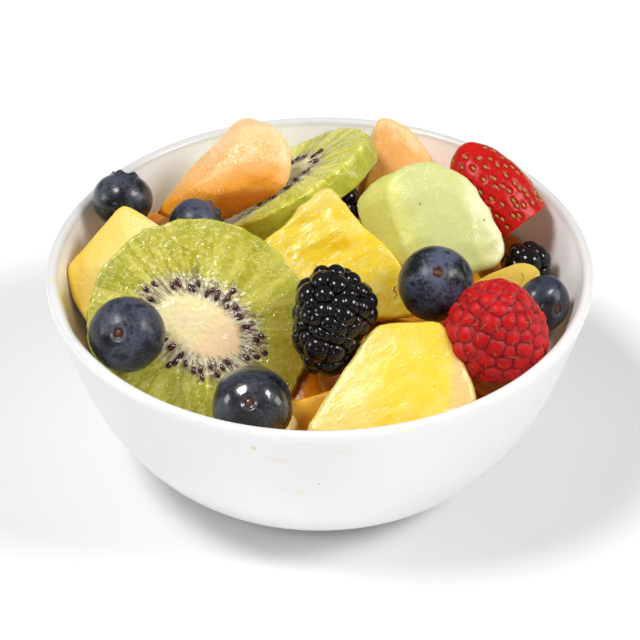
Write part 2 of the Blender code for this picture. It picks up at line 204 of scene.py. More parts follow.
class Finish:
    """A Principled material, whose nodes read places in millimetres.

    A site is on the bowl's axes, and a place is on the piece's own.
    """

    def __init__(self, name, where=None, **constants):
        self.material = bpy.data.materials.new(name)
        self.material.use_nodes = True
        self.tree = self.material.node_tree
        self.set(subsurface_scale=MM, **constants)
        coordinates = self.add("TexCoord", output="Object")
        self.site = self.add("VectorMath", {"operation": "SCALE"}, {0: coordinates, "Scale": 1.0 / MM})
        self.place = self.site
        if where:
            seating = {"Location": where.translation, "Rotation": where.to_euler(), "Scale": (MM, MM, MM)}
            self.place = self.add("Mapping", {"vector_type": "TEXTURE"}, {"Vector": coordinates, **seating})
        self.x = self.add("SeparateXYZ", {}, {0: self.place})
        self.y = Link(self.x.socket.node.outputs[1])
        self.z = Link(self.x.socket.node.outputs[2])

    def set(self, **values):
        """Set or link sockets of the shader, which are named in lower case with underscores."""
        shader = self.tree.nodes["Principled BSDF"]
        for socket, value in values.items():
            feed(shader.inputs[socket.replace("_", " ").title().replace("Ior", "IOR")], value)

    def add(self, kind, settings=None, inputs=None, output=0):
        """Add a node: its settings first, then the values or links of its sockets."""
        node = self.tree.nodes.new("ShaderNode" + kind)
        for key, value in (settings or {}).items():
            setattr(node, key, value)
        for key, value in (inputs or {}).items():
            feed(node.inputs[key], value)
        return Link(node.outputs[output])

    def vector(self, operation, *values):
        """Vector Math on one or two vectors."""
        output = "Value" if operation in ("DOT_PRODUCT", "LENGTH") else "Vector"
        return self.add("VectorMath", {"operation": operation}, dict(enumerate(values)), output)

    def along(self, direction):
        """Distance of the place along a direction."""
        return self.vector("DOT_PRODUCT", self.place, direction)

    def stretched(self, lie, share):
        """The place turned by lie degrees about Z, with its first axis then shortened to this share."""
        inputs = {"Vector": self.place, "Angle": math.radians(lie)}
        turned_place = self.add("VectorRotate", {"rotation_type": "Z_AXIS"}, inputs)
        return self.vector("MULTIPLY", turned_place, (share, 1.0, 1.0))

    def attribute(self, name):
        """A value that the mesh holds at each of its points."""
        return self.add("Attribute", {"attribute_name": name}, output="Fac")

    def noise(self, size, detail=2.0, where=None):
        """Cloudy noise from 0 to 1 with features of about this size."""
        sockets = {"Vector": where or self.place, "Scale": 1.0 / size, "Detail": detail}
        return self.add("TexNoise", {}, sockets, "Fac")

    def cells(self, size):
        """Distance from the middle of the nearest random cell of this size."""
        return self.add("TexVoronoi", {}, {"Vector": self.place, "Scale": 1.0 / size}, "Distance")

    def step(self, value, low, high):
        """Smooth step from 0 at low to 1 at high."""
        sockets = {"Value": value, "From Min": low, "From Max": high}
        return self.add("MapRange", {"interpolation_type": "SMOOTHSTEP"}, sockets)

    def mix(self, share, first, second):
        return self.add("Mix", {"data_type": "RGBA"}, {0: share, 6: first, 7: second}, 2)

    def layered(self, colour, *coats):
        """A colour under coats, each of which is a share and a colour."""
        for share, coat in coats:
            colour = self.mix(share, colour, coat)
        return colour

    def tint(self, *coats):
        """Mix coats over the base colour that is already linked."""
        base = self.tree.nodes["Principled BSDF"].inputs["Base Color"]
        self.set(base_color=self.layered(Link(base.links[0].from_socket), *coats))

    def spot(self, middle, size):
        """1 inside an uneven blot about a site, with this size along each axis, fading to 0."""
        away = self.vector("DIVIDE", self.vector("SUBTRACT", self.site, middle), size)
        return self.step(self.vector("LENGTH", away) + self.noise(1.6, 3.0) * 0.8, 1.5, 0.7)

    def dab(self, *spots):
        """Tint uneven blots, each with its middle, size, colour and strength."""
        for middle, size, colour, strength in spots:
            self.tint((self.spot(middle, size) * strength, colour))

    def bump(self, height, depth):
        """Relief in millimetres."""
        return self.add("Bump", {}, {"Height": height, "Distance": depth * MM})


def mottled(name, size, first, second, **constants):
    """Finish in two colours, clouded together over about this size."""
    finish = Finish(name, **constants)
    finish.set(base_color=finish.mix(finish.noise(size), first, second))
    return finish


def bowl_profile():
    """Radii and heights from the middle of the base, up the outside, over the lip and down inside."""
    lip = LIP_THICKNESS / 2.0
    lip_middle = BOWL_HEIGHT - lip
    wall_top = lip_middle - lip * math.sin(LIP_LEAN)
    flare = RIM_RADIUS - lip + lip * math.cos(LIP_LEAN) - wall_radius(wall_top)
    bend_top = np.array((wall_radius(BASE_BEND_HEIGHT), BASE_BEND_HEIGHT))
    base = np.array((BASE_RADIUS, 0.0))
    bend = np.array((BASE_BEND_RADIUS, 0.0))
    points = [(6.0, 0.0), (20.0, 0.0), (29.0, 0.0)]
    for t in np.linspace(0.0, 1.0, 9):
        lower = base + (bend - base) * t
        upper = bend + (bend_top - bend) * t
        points.append(tuple(lower + (upper - lower) * t))
    wall = np.linspace(4.4, wall_top, 42)
    spread = flare * ramp(wall, FLARE_START, wall_top) ** 2
    points += list(zip(wall_radius(wall) + spread, wall))
    for turn in np.linspace(-LIP_LEAN, math.pi - LIP_LEAN, 21)[1:]:
        points.append((RIM_RADIUS - lip + lip * math.cos(turn), lip_middle + lip * math.sin(turn)))
    inside = np.linspace(lip_middle - 0.3, 5.4, 44)
    blend = ramp(inside, FLARE_START, lip_middle) ** 2
    lip_inside = RIM_RADIUS - LIP_THICKNESS - inner_radius(lip_middle)
    points += list(zip(inner_radius(inside) + lip_inside * blend, inside))
    points += [(inner_radius(5.2) - 2.0, 4.6), (inner_radius(4.6) - 5.0, FOOT_THICKNESS)]
    points.append((8.0, FOOT_THICKNESS))
    return np.array(points).T


glaze = Finish(
    "white_glaze", roughness=0.26, ior=1.48, subsurface_weight=0.3, subsurface_radius=(3.0, 2.8, 2.5),
)
# Painted shade: the lip is painted a little grey, and greyer towards the back.
painted_lip_shade = glaze.mix(glaze.step(glaze.y, -30.0, 30.0), "e2e1e0", "d0cfcd")
# Painted shade: the outer wall is painted greyer on its left and right flanks at the front.
level_place = glaze.vector("MULTIPLY", glaze.place, (1.0, 1.0, 0.0))
outward = glaze.vector("DOT_PRODUCT", level_place, glaze.add("TexCoord", output="Normal"))
front = glaze.step(glaze.y, 10.0, -10.0)
flank = glaze.step(outward, 5.0, 15.0) * glaze.step(abs(glaze.x), 5.0, 42.0) * front
glaze.set(
    base_color=glaze.layered("faf9f9", (flank, "e5e6e7"), (glaze.step(glaze.z, 46.3, 47.7), painted_lip_shade)),
    normal=glaze.bump(glaze.noise(14.0, 1.0), 0.05),
)
glaze.dab(
    ((-13.8, -57.0, 42.8), (0.9, 1.5, 0.9), "f1c377", 0.7),
    ((-8.9, -57.1, 39.4), (3.2, 2.0, 1.2), "f1e3bd", 0.3),
    ((4.1, -58.4, 42.5), (3.6, 2.0, 0.8), "f1e9b4", 0.35),
    ((-7.6, -54.0, 28.8), (1.1, 1.5, 0.8), "f0e7c2", 0.35),
    ((-4.3, -54.2, 28.4), (1.6, 1.5, 1.1), "f0e7c2", 0.4),
    ((-3.5, -59.0, 46.4), (1.6, 1.5, 0.9), "f3d9cc", 0.3),
    ((17.4, -57.3, 47.3), (2.2, 1.6, 1.0), "f3e6a4", 0.2),
    ((37.5, -46.8, 47.0), (3.4, 3.0, 1.2), "f1e8a6", 0.12),
    ((42.8, -42.0, 46.6), (2.4, 2.6, 1.0), "f1e8a6", 0.1),
    ((-58.4, -5.1, 48.0), (0.6, 0.9, 0.8), "edd04e", 0.7),
    ((-0.5, -55.4, 31.5), (0.3, 0.9, 0.3), "c9b98f", 0.8),
    # Painted light: this yellow blot on the inner wall beside the mango stands in for light thrown off the
    # mango.
    ((-55.8, -7.0, 44.0), (1.8, 5.0, 2.6), "f2dc62", 0.55),
    ((-22.4, -54.5, 46.9), (1.0, 1.0, 1.0), "f3ecba", 0.7),
)
rings = turned(*bowl_profile(), BOWL_SIDES)
mesh = loft("bowl_porcelain", (0.0, 0.0, 0.0), rings, (0.0, 0.0, FOOT_THICKNESS))
add_piece("bowl_porcelain", mesh, glaze, Matrix.Identity(4), "white_glaze", "bowl")


# ---------------------------------------------------------------- kiwi slices
# Two thick slices across a peeled kiwi. The knife leaves a pale core, rays of wet green flesh with
# black seeds in a ring, and a rim with flat facets where the skin was pared away.

def facing(azimuth, elevation, spin=0.0):
    """Rotation whose local Z looks along a compass direction, with local Y uphill before the spin."""
    turn = math.radians(azimuth)
    lift = math.radians(elevation)
    look = Vector((math.cos(lift) * math.cos(turn), math.cos(lift) * math.sin(turn), math.sin(lift)))
    uphill = Vector((-math.sin(lift) * math.cos(turn), -math.sin(lift) * math.sin(turn), math.cos(lift)))
    basis = Matrix((uphill.cross(look), uphill, look)).transposed()
    return basis @ Matrix.Rotation(math.radians(spin), 3, "Z")


def seat(node, turn):
    """Where a piece goes on its solid, and the solid's size along the piece's own axes in millimetres."""
    points = np.array([vert.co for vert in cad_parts[node].data.vertices]) @ np.array(turn)
    low = points.min(0)
    high = points.max(0)
    middle = turn @ Vector((low + high) / 2.0)
    return Matrix.Translation(middle) @ turn.to_4x4(), (high - low) / MM


CORNER_PRIMES = np.array((73856093, 19349663, 83492791))


def ripple(points, size, seed):
    """Smooth random field at each point, from about -1 to 1, with bumps of about this size."""
    cells = np.asarray(points, float) / size + 0.37 * seed + 91.0
    corner = np.floor(cells).astype(np.int64)
    part = cells - corner
    ease = part ** 3 * (part * (6.0 * part - 15.0) + 10.0)
    total = np.zeros(len(cells))
    for offset in np.ndindex(2, 2, 2):
        offset = np.array(offset)
        key = (corner + offset) @ CORNER_PRIMES + 7919 * seed
        key = (key ^ (key >> 13)) * 1274126177 & 0xFFFFFFFF
        key = (key ^ (key >> 16)) * 2246822519 & 0xFFFFFFFF
        slope = np.stack([(key >> shift & 1023) / 511.5 - 1.0 for shift in (0, 10, 20)], -1)
        weight = np.where(offset == 1, ease, 1.0 - ease).prod(-1)
        total += weight * (slope * (part - offset)).sum(-1)
    return total * 1.5


def unit(vectors):
    """Vectors scaled to a length of 1."""
    return vectors / np.linalg.norm(vectors, axis=-1, keepdims=True)


SEED_SIDES = 12
SEED_LEVELS = 9


def teardrop(length, width):
    """Points from pole to pole of a seed with its blunt end towards +X."""
    phase = np.linspace(0.0, math.pi, SEED_LEVELS + 2)[1:-1]
    rings = turned(np.sin(phase) * (1.0 + 0.35 * np.cos(phase)), np.cos(phase), SEED_SIDES)[..., (2, 0, 1)]
    points = np.concatenate([[(1.0, 0.0, 0.0)], rings.reshape(-1, 3), [(-1.0, 0.0, 0.0)]])
    return points * (0.5 * length, 0.5 * width, 0.36 * width)


KIWI_SIDES = 320
KIWI_EDGE = 0.7
KIWI_SINK = 0.17
SEED_RING = 6.0


def core_edge(x, y, core):
    """Distance outwards from the edge of the oval core, in millimetres."""
    share = np.hypot(x / core[0], y / core[1])
    return np.hypot(x, y) * (1.0 - 1.0 / np.maximum(share, 0.02))


def kiwi_slice(name, width, breadth, thickness, seed, core):
    """Slice whose face is at local Z of half the thickness, with pared facets round its edge."""
    angles = math.tau * np.arange(KIWI_SIDES) / KIWI_SIDES
    outward = np.stack([np.cos(angles), np.sin(angles), 0.0 * angles], -1)
    uneven = 1.0 + 0.016 * ripple(outward, 0.7, seed)
    facets = 1.2 * np.abs(ripple(outward, 0.34, seed + 5))
    nicks = 0.6 * np.abs(ripple(outward, 0.12, seed + 3))[:, None]
    rim = np.stack([width / 2.0 * uneven - facets, breadth / 2.0 * uneven - facets], -1) - nicks
    rings = []

    def add_ring(reach, height):
        rings.append(np.column_stack([outward[:, :2] * reach, 0.0 * angles + height]))

    for share in np.linspace(0.02, 1.0, 92):
        add_ring((rim - KIWI_EDGE) * share, 0.32 * (1.0 - share ** 2))
    for turn in np.radians((20.0, 45.0, 70.0, 90.0)):
        add_ring(rim - KIWI_EDGE * (1.0 - math.sin(turn)), -KIWI_EDGE * (1.0 - math.cos(turn)))
    for depth in np.linspace(KIWI_EDGE + 0.4, thickness - KIWI_EDGE, 14):
        add_ring(rim + nicks * min(1.0, (depth - KIWI_EDGE) / 1.5), -depth)
    for turn in np.radians((30.0, 60.0, 90.0)):
        inset = KIWI_EDGE * (1.0 - math.cos(turn))
        add_ring(rim + nicks - inset, KIWI_EDGE * (1.0 - math.sin(turn)) - thickness)
    for share in (0.9, 0.75, 0.55, 0.35, 0.15):
        add_ring((rim - KIWI_EDGE) * share, -thickness)
    rings = np.array(rings)
    flat = rings.reshape(-1, 3)
    past = core_edge(flat[:, 0], flat[:, 1], core)
    polar = np.arctan2(flat[:, 1] / core[1], flat[:, 0] / core[0])
    ray = np.stack([np.cos(polar) * 6.0, np.sin(polar) * 6.0, 0.05 * past], -1)
    in_ring = ramp(past, -0.4, 0.8) * ramp(past, SEED_RING + 1.5, SEED_RING - 1.0)
    relief = 0.25 * ramp(past, 0.8, -1.7) + in_ring * (0.34 * ripple(ray, 0.6, 11) - 0.1)
    relief += ramp(past, 3.0, 7.0) * 0.22 * ripple(ray, 0.95, 4)
    relief += 0.10 * ripple(flat, 1.0, 6) + 0.06 * ripple(flat, 0.5, 8) + 0.2 * ripple(flat, 5.0, seed)
    flat[:, 2] += relief * (flat[:, 2] > -KIWI_EDGE * 0.5)
    side = (flat[:, 2] < -KIWI_EDGE * 0.3) & (flat[:, 2] > -thickness + KIWI_EDGE * 0.3)
    bumpy = 0.2 * ripple(flat, 2.6, 2) + 0.1 * ripple(flat, 0.9, 9) - 0.1
    flat[:, :2] += unit(flat[:, :2]) * (bumpy * side)[:, None]
    rings = flat.reshape(rings.shape)
    rings[..., 2] += thickness / 2.0 - KIWI_SINK
    return loft(name, rings[0].mean(0), rings, (0.0, 0.0, -thickness / 2.0 - KIWI_SINK))


def kiwi_finish(name, where, core, spin, deep, pale):
    """Cream core, grey seed ring, then green flesh with pale rays, all under a film of juice, with painted
    glints on that juice and painted shade on the right.
    """
    flesh = Finish(
        name, where, subsurface_weight=0.7, subsurface_radius=(1.9, 1.6, 0.4), specular_ior_level=0.6,
    )
    u = flesh.x * (1.0 / core[0])
    v = flesh.y * (1.0 / core[1])
    share = (u * u + v * v) ** 0.5
    reach = (flesh.x * flesh.x + flesh.y * flesh.y) ** 0.5
    past = reach - reach / share
    unrolled = {0: u / share, 1: v / share}
    ray_place = flesh.add("CombineXYZ", {}, {**unrolled, 2: reach * 0.012})
    dash_place = flesh.add("CombineXYZ", {}, {**unrolled, 2: reach * 0.05})
    broad_rays = flesh.noise(0.15, 2.0, ray_place)
    fine_rays = flesh.noise(0.045, 3.0, ray_place)
    dashes = flesh.noise(0.05, 2.0, dash_place)
    clouds = flesh.noise(8.0)
    grain = flesh.noise(1.0, 3.0)
    right = flesh.along((math.cos(spin), -math.sin(spin), 0.0))
    uphill = flesh.along((math.sin(spin), math.cos(spin), 0.0))
    on_face = flesh.step(flesh.z, 1.6, 2.4)
    rays = 0.5 + (broad_rays * 0.6 + fine_rays * 0.4 - 0.5) * on_face
    streaky = on_face * flesh.step(right - uphill + (clouds - 0.5) * 20.0, 12.0, -14.0)
    lower_left = flesh.step(uphill, 2.0, -14.0) * flesh.step(right, 9.0, -5.0)
    # Partly the flesh's own amber tone and partly painted shade: the right of the face is painted darker
    # and browner.
    amber_shade = flesh.step(right, 8.0, 21.0) * flesh.step(uphill + (clouds - 0.5) * 8.0, 9.0, -5.0)
    green = flesh.layered(
        deep,
        (flesh.step(rays, 0.4, 0.62), pale),
        # Painted highlights: the pale dashes here and the specks and glints below stand for glints on the
        # juice film.
        (flesh.step(dashes, 0.54, 0.66) * streaky * 0.5, "e6df94"),
        (flesh.step(reach + clouds * 3.0, 22.0, 26.0) * 0.35, "a7a95a"),
        (lower_left * (0.25 + flesh.step(broad_rays, 0.45, 0.6) * 0.5), "d2d24c"),
        (lower_left * flesh.step(fine_rays, 0.5, 0.58) * on_face * 0.5, "e2de80"),
        (amber_shade * 0.85, "a28604"),
    )
    mush = flesh.step(right, -4.0, 9.0)
    streaks = broad_rays * 0.4 + fine_rays * 0.35 + dashes * 0.25
    ring = flesh.layered("8f8458", (mush, "6a4a40"), (flesh.step(streaks, 0.42, 0.6), "d5cea8"))
    blush = flesh.step(right - uphill + (clouds - 0.5) * 9.0, -2.0, 9.0)
    ring_edge = past + (broad_rays - 0.5) * 6.0 + (fine_rays - 0.5) * 4.0 + (grain - 0.5) * 1.6
    core_rim = past + (fine_rays - 0.5) * 5.0 + (grain - 0.5) * 3.0
    past_core = flesh.mix(flesh.step(ring_edge, 2.8, 6.8), ring, green)
    near_ring = flesh.step(past, 8.0, 3.0)
    in_flesh = flesh.step(past, -0.5, 2.0)
    specks = flesh.step(flesh.cells(0.6), 0.3, 0.14) * flesh.step(clouds + (grain - 0.5), 0.42, 0.6)
    glints = flesh.step(dashes, 0.55, 0.63) * near_ring * in_flesh
    colour = flesh.layered(
        flesh.mix(flesh.step(core_rim, -0.8, 1.2), flesh.mix(blush, "eee2b0", "f0d3a8"), past_core),
        (flesh.step(flesh.z, 1.8, 0.8) * 0.5, "a2a62c"),
        (specks * on_face * (0.6 - amber_shade * 0.5), "f6f4d4"),
        (glints * (0.35 + mush * 0.3), "faf6e8"),
    )
    beads = flesh.step(flesh.cells(0.8), 0.42, 0.05) * flesh.step(flesh.noise(2.4), 0.46, 0.56) * in_flesh
    film = (dashes * 0.45 + flesh.noise(2.0) * 0.3) * (0.4 + near_ring * 0.8) * on_face * in_flesh
    wet = film + beads * 0.26 + grain * 0.14
    flesh.set(base_color=colour, roughness=0.1 + grain * 0.14, normal=flesh.bump(wet, 0.55))
    return flesh


def kiwi_seeds(name, where, count, core, top):
    """Seeds lying along the rays just outside the core, more or less sunk in the wet flesh."""
    chooser = random.Random(5)
    seeds = []
    for k in range(count):
        angle = math.tau * (k + chooser.uniform(-0.6, 0.6)) / count
        edge = 1.0 / math.hypot(math.cos(angle) / core[0], math.sin(angle) / core[1])
        reach = edge + 1.4 + (SEED_RING - 1.4) * chooser.random() ** 1.3
        points = teardrop(chooser.uniform(1.6, 2.1), chooser.uniform(0.95, 1.2))
        lie = Matrix.Rotation(angle + chooser.uniform(-0.3, 0.3), 3, "Z")
        tip = Matrix.Rotation(chooser.uniform(-0.25, 0.35), 3, "Y")
        middle = (reach * math.cos(angle), reach * math.sin(angle), top + chooser.uniform(-0.25, 0.15))
        seeds.append(points @ np.array(lie @ tip).T + middle)
    add_piece(name, skins(name, seeds, SEED_SIDES), seed_coat, where, "kiwi_flesh")


seed_coat = mottled(
    "kiwi_seed_coat", 1.2, "2c0d10", "5a211c", roughness=0.14, coat_weight=0.8, coat_roughness=0.06,
)
for node, look, spin, sizes, seed, core, count, deep, pale in (
    ("kiwi_front", (-90.0, 45.0), -30.0, (50.0, 47.4, 6.5), 1, (9.6, 5.6), 46, "a8a620", "cdc65a"),
    ("kiwi_back", (157.0, 56.0), 0.0, (38.2, 45.0, 6.0), 4, (4.6, 6.4), 26, "b4b62c", "dcd65e"),
):
    name = node + "_slice"
    where = seat(node, facing(*look, spin))[0]
    flesh = kiwi_finish(name, where, core, math.radians(spin), deep, pale)
    add_piece(name, kiwi_slice(name, *sizes, seed, core), flesh, where, "kiwi_flesh", node)
    kiwi_seeds(name + "_seeds", where, count, core, sizes[2] / 2.0 + 0.1)


# ---------------------------------------------------------------- blueberries
# Six whole blueberries: squat balls of near-black skin under a patchy pale bloom. Each has a small brown
# stem scar in a dimple at one end and a five-pointed crown round a pit at the other.

BERRY_SIDES = 96
BERRY_LEVELS = 84
CROWN_RADIUS = 2.7


def hump(distance, width, power=2):
    """1 at no distance, fading to 0 past this width, and more steeply for a higher power."""
    return np.exp(-(distance / width) ** power)


def blueberry(node, look, crown, seed, wet, pale, dents):
    """Berry with its scar towards local +Z, or its crown there when the crown is what shows."""
    turn = facing(*look)
    if crown:
        turn = turn @ Matrix.Rotation(math.pi, 3, "X")
    where, size = seat(node, turn)
    radius = 0.5 * max(size[0], size[1]) - 0.05
    half = 0.5 * size[2] - 0.33
    angles = math.tau * np.arange(BERRY_SIDES) / BERRY_SIDES
    phase = np.linspace(0.0, math.pi, BERRY_LEVELS + 2)[1:-1]
    phase = phase - 0.16 * np.sin(2.0 * phase)
    reach = radius * np.abs(np.sin(phase)) ** 0.94
    level = half * np.cos(phase)
    scar = (phase < math.pi / 2.0) * 1.0
    level += scar * (0.12 * hump(reach - 1.9, 0.5) + 0.3 * hump(reach, 0.55) - 0.75 * hump(reach, 1.5, 4))
    level -= (1.0 - scar) * (0.3 - 1.45 * hump(reach, 2.0, 6))
    collar = (1.0 - scar) * hump(reach - CROWN_RADIUS, 0.55)
    rings = turned(reach * (1.0 + 0.05 * collar), level, BERRY_SIDES)
    rings[..., 2] -= 0.85 * collar[:, None] * (0.62 + 0.38 * np.cos(5.0 * angles))
    flat = rings.reshape(-1, 3)
    out = unit(flat)
    swell = 0.22 * ripple(flat, 7.0, seed) + 0.05 * ripple(flat, 2.2, seed + 1)
    swell += 0.012 * ripple(flat, 0.7, 2)
    swell *= ramp(np.hypot(flat[:, 0], flat[:, 1]), 0.0, 3.0)
    for middle, width, depth in dents:
        swell -= depth * hump(np.linalg.norm(out - unit(middle), axis=1) * radius, width)
    rings = (flat + out * swell[:, None] + (0.0, 0.0, 0.12)).reshape(rings.shape)
    name = node + "_skin"
    mesh = loft(name, (0.0, 0.0, rings[0, :, 2].mean()), rings, (0.0, 0.0, rings[-1, :, 2].mean()))
    add_piece(name, mesh, berry_finish(name, where, half, seed, wet, pale), where, "blueberry_skin", node)


def berry_finish(name, where, half, seed, wet, pale):
    """Blue-black skin with cloudy bloom, rubbed off in places, and a brown scar; juice makes it wet."""
    skin = Finish(name, where, specular_ior_level=0.36, coat_weight=wet, coat_roughness=0.04)
    moved = skin.vector("ADD", skin.place, (9.7 * seed, 3.1, 0.0))
    flecks = skin.noise(0.6, 3.0, moved)
    bloom = skin.step(skin.noise(6.0, 3.0, moved) * 0.8 + flecks * 0.35, 0.46, 0.7)
    reach = (skin.x * skin.x + skin.y * skin.y) ** 0.5
    uneven = reach + (flecks - 0.5) * 0.8
    top = skin.step(skin.z, 0.0, 1.0)
    pit = skin.step(skin.z, -0.3 * half, -0.8 * half) * skin.step(reach, 2.4, 1.6)
    colour = skin.layered(
        "121317",
        (bloom, pale),
        (skin.step(skin.noise(3.0, 3.0, moved), 0.54, 0.66) * 0.75, "111114"),
        (skin.step(uneven, 2.2, 1.6) * top * (0.6 - 0.35 * wet), "625f6b"),
        (skin.step(uneven, 1.35, 1.1) * top, "3a1a10"),
        (skin.step(uneven, 0.75, 0.3) * top * 0.6, "6a4426"),
        (pit * 0.8, "1a1210"),
    )
    skin.set(base_color=colour, roughness=0.26 + bloom * 0.16, normal=skin.bump(flecks, 0.03))
    return skin


for row in (
    ("blueberry_rear_left", (81.0, 47.0), True, 3, 0.3, "474b58", ()),
    ("blueberry_behind_kiwi", (33.0, 20.0), True, 4, 0.0, "494d5c", ()),
    ("blueberry_left", (-105.0, 38.0), False, 5, 0.0, "454958", (((0.4, -0.5, 1.0), 1.6, 0.25),)),
    ("blueberry_front", (-95.0, 43.0), False, 6, 0.9, "3c4050", ()),
    ("blueberry_middle", (-87.0, 56.0), False, 7, 0.0, "50566a",
     (((0.55, -0.45, 0.8), 2.2, 0.45), ((0.8, 0.2, 0.55), 1.0, 0.3))),
    ("blueberry_right", (-50.0, 12.0), False, 8, 0.3, "2e3444", ()),
):
    blueberry(*row)


# ---------------------------------------------------------------- brambles and raspberry
# Berries built of many small round drupelets round a soft core. Each drupelet is pressed against its
# neighbours and holds its own glint, and some keep the dry brown hair of their flower.

DROP_SIDES = 26
DROP_LEVELS = 17
DROP_RISE = 0.5
DROP_SOFTNESS = 0.13
DROP_NEIGHBOURS = 9
LEAST_WALL = 0.25
GIRTH_POWER = 1.6
CONE = 0.16
RAY_START = 60.0
PUSH_POWER = 3
GOLDEN_TURN = math.pi * (3.0 - math.sqrt(5.0))
HAIR_SIDES = 5
HAIR_THICKNESS = 0.14


def spiral_directions(count, scatter, seed):
    """Directions spread over a ball along a spiral, each knocked a little out of place."""
    chooser = np.random.default_rng(seed)
    turns = GOLDEN_TURN * np.arange(count)
    height = 1.0 - 2.0 * (np.arange(count) + 0.5) / count
    reach = np.sqrt(1.0 - height * height)
    directions = np.stack([reach * np.cos(turns), reach * np.sin(turns), height], -1)
    return unit(directions + chooser.uniform(-scatter, scatter, directions.shape))


def ball_rings(sides, levels):
    """Rings between the poles of a ball whose radius is 1."""
    phase = np.linspace(0.0, math.pi, levels + 2)[1:-1]
    return turned(np.sin(phase), np.cos(phase), sides)


def store(mesh, name, values):
    """Hold a value at each point of a mesh for its finish to read."""
    mesh.attributes.new(name, "FLOAT", "POINT").data.foreach_set("value", values)


def skin_reach(node, where, directions):
    """Distance from a piece's middle to its solid's skin along each direction, evened over a small cone."""
    to_piece = where.inverted()
    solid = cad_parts[node].data
    points = [to_piece @ vert.co / MM for vert in solid.vertices]
    skin = BVHTree.FromPolygons(points, [tuple(face.vertices) for face in solid.polygons])
    reach = []
    for direction in directions:
        found = []
        for tilt in np.concatenate([np.zeros((1, 3)), CONE * np.eye(3), -CONE * np.eye(3)]):
            look = Vector(direction + tilt).normalized()
            found.append(skin.ray_cast(look * RAY_START, -look)[0].length)
        reach.append(sum(found) / len(found))
    return np.array(reach)[:, None]


def pushed_reach(node, where, directions, pushes):
    """Reach of the solid's skin, then pushed out or in towards some directions on the bowl's axes."""
    reach = skin_reach(node, where, directions)
    for toward, amount in pushes:
        local = where.to_3x3().transposed() @ Vector(toward).normalized()
        reach += amount * np.maximum(directions @ np.array(local), 0.0)[:, None] ** PUSH_POWER
    return reach


def drupelet_berry(node, slot, look, count, seed, uneven, plump, pressed, pushes, finish):
    """Berry of many pressed drupelets that fills its solid's skin; returns the drupelets' tops."""
    where, size = seat(node, facing(*look))
    half = size / 2.0
    directions = spiral_directions(count, 0.25 * uneven, seed)
    girth = sum((half[i] * half[j]) ** GIRTH_POWER for i, j in ((0, 1), (0, 2), (1, 2)))
    area = 4.0 * math.pi * (girth / 3.0) ** (1.0 / GIRTH_POWER)
    chooser = np.random.default_rng(seed)
    spread = chooser.uniform(1.0 - uneven, 1.0 + uneven, (count, 1))
    balls = plump * math.sqrt(area / count / math.pi) * spread
    centres = directions * (pushed_reach(node, where, directions, pushes) + DROP_RISE - balls)
    out = unit(directions / half)
    dome = ball_rings(DROP_SIDES, DROP_LEVELS).reshape(-1, 3)
    dome = np.concatenate([[(0.0, 0.0, 1.0)], dome, [(0.0, 0.0, -1.0)]])
    pieces = []
    tops = []
    heights = []
    for k in range(count):
        across = unit(np.cross(out[k], (0.3, 0.9, 0.2)))
        axes = np.stack([across, np.cross(out[k], across), out[k]])
        points = centres[k] + (dome * balls[k]) @ axes
        soft = DROP_SOFTNESS * balls[k]
        for j in np.argsort(np.linalg.norm(centres - centres[k], axis=1))[1:DROP_NEIGHBOURS + 1]:
            away = centres[j] - centres[k]
            gap = np.linalg.norm(away)
            away /= gap
            wall = 0.5 * gap + (balls[k] ** 2 - balls[j] ** 2) / (2.0 * gap) + pressed
            past = (points - centres[k]) @ away - np.maximum(wall, LEAST_WALL * balls[k])
            push = np.where(past > -soft, (past + soft) ** 2 / (4.0 * soft), 0.0)
            push = np.where(past > soft, past, push)
            points = points - away * push[:, None]
        pieces.append(points)
        tops.append((points[0], out[k]))
        heights.append((points - centres[k]) @ out[k] / balls[k])
    name = node + "_drupelets"
    mesh = skins(name, pieces, DROP_SIDES)
    store(mesh, "drupelet", np.repeat(chooser.uniform(0.0, 1.0, count), len(dome)))
    store(mesh, "height", np.concatenate(heights))
    add_piece(name, mesh, finish, where, slot, node)
    return tops, where


def strand(points, thickness):
    """Thin tapering hair through its points, from pole to pole."""
    points = np.array(points)
    angles = math.tau * np.arange(HAIR_SIDES) / HAIR_SIDES
    rings = []
    for k in range(1, len(points) - 1):
        along = unit(points[k + 1] - points[k - 1])
        across = unit(np.cross(along, (0.31, 0.22, 0.92)))
        over = np.cross(along, across)
        reach = 0.5 * thickness * (1.15 - k / len(points))
        turns = np.cos(angles)[:, None] * across + np.sin(angles)[:, None] * over
        rings.append(points[k] + reach * turns)
    return np.concatenate([[points[0]], *rings, [points[-1]]])


def hairs(name, tops, where, seed, share, length, slot):
    """Curled dry hairs, one on some of the drupelets."""
    chooser = random.Random(seed)
    steps = np.linspace(0.0, 1.0, 9)[:, None]
    strands = []
    for point, out in tops:
        if chooser.random() > share:
            continue
        side = unit(np.cross(out, [chooser.uniform(-1.0, 1.0) for _ in range(3)]))
        reach = length * chooser.uniform(0.6, 1.4)
        bend = chooser.uniform(0.5, 1.2)
        bow = np.cross(out, side) * chooser.uniform(-0.5, 0.5)
        path = point - out * 0.25 + out * reach * (0.5 * steps - 0.42 * bend * steps ** 2)
        path = path + side * reach * steps * 0.8 + bow * reach * steps ** 2
        strands.append(strand(path, HAIR_THICKNESS))
    add_piece(name, skins(name, strands, HAIR_SIDES), dry_hair, where, slot)


def bramble_finish():
    """Glossy near-black skins, a few of them redder, with olive-brown painted reflection where they meet.
    """
    skin = Finish(
        "bramble_skin", specular_ior_level=0.05, coat_weight=1.0, coat_roughness=0.03, coat_ior=1.4,
    )
    colour = skin.layered(
        "070607",
        (skin.step(skin.attribute("drupelet"), 0.8, 1.0) * 0.5, "1c070b"),
        # Painted reflection: olive-brown where the drupelets meet stands for the yellow fruit around, seen
        # in their edges.
        (skin.step(skin.attribute("height"), 0.45, 0.0) * 0.6, "2e2410"),
    )
    skin.set(base_color=colour, roughness=0.3, normal=skin.bump(skin.noise(0.5, 1.0), 0.45))
    return skin


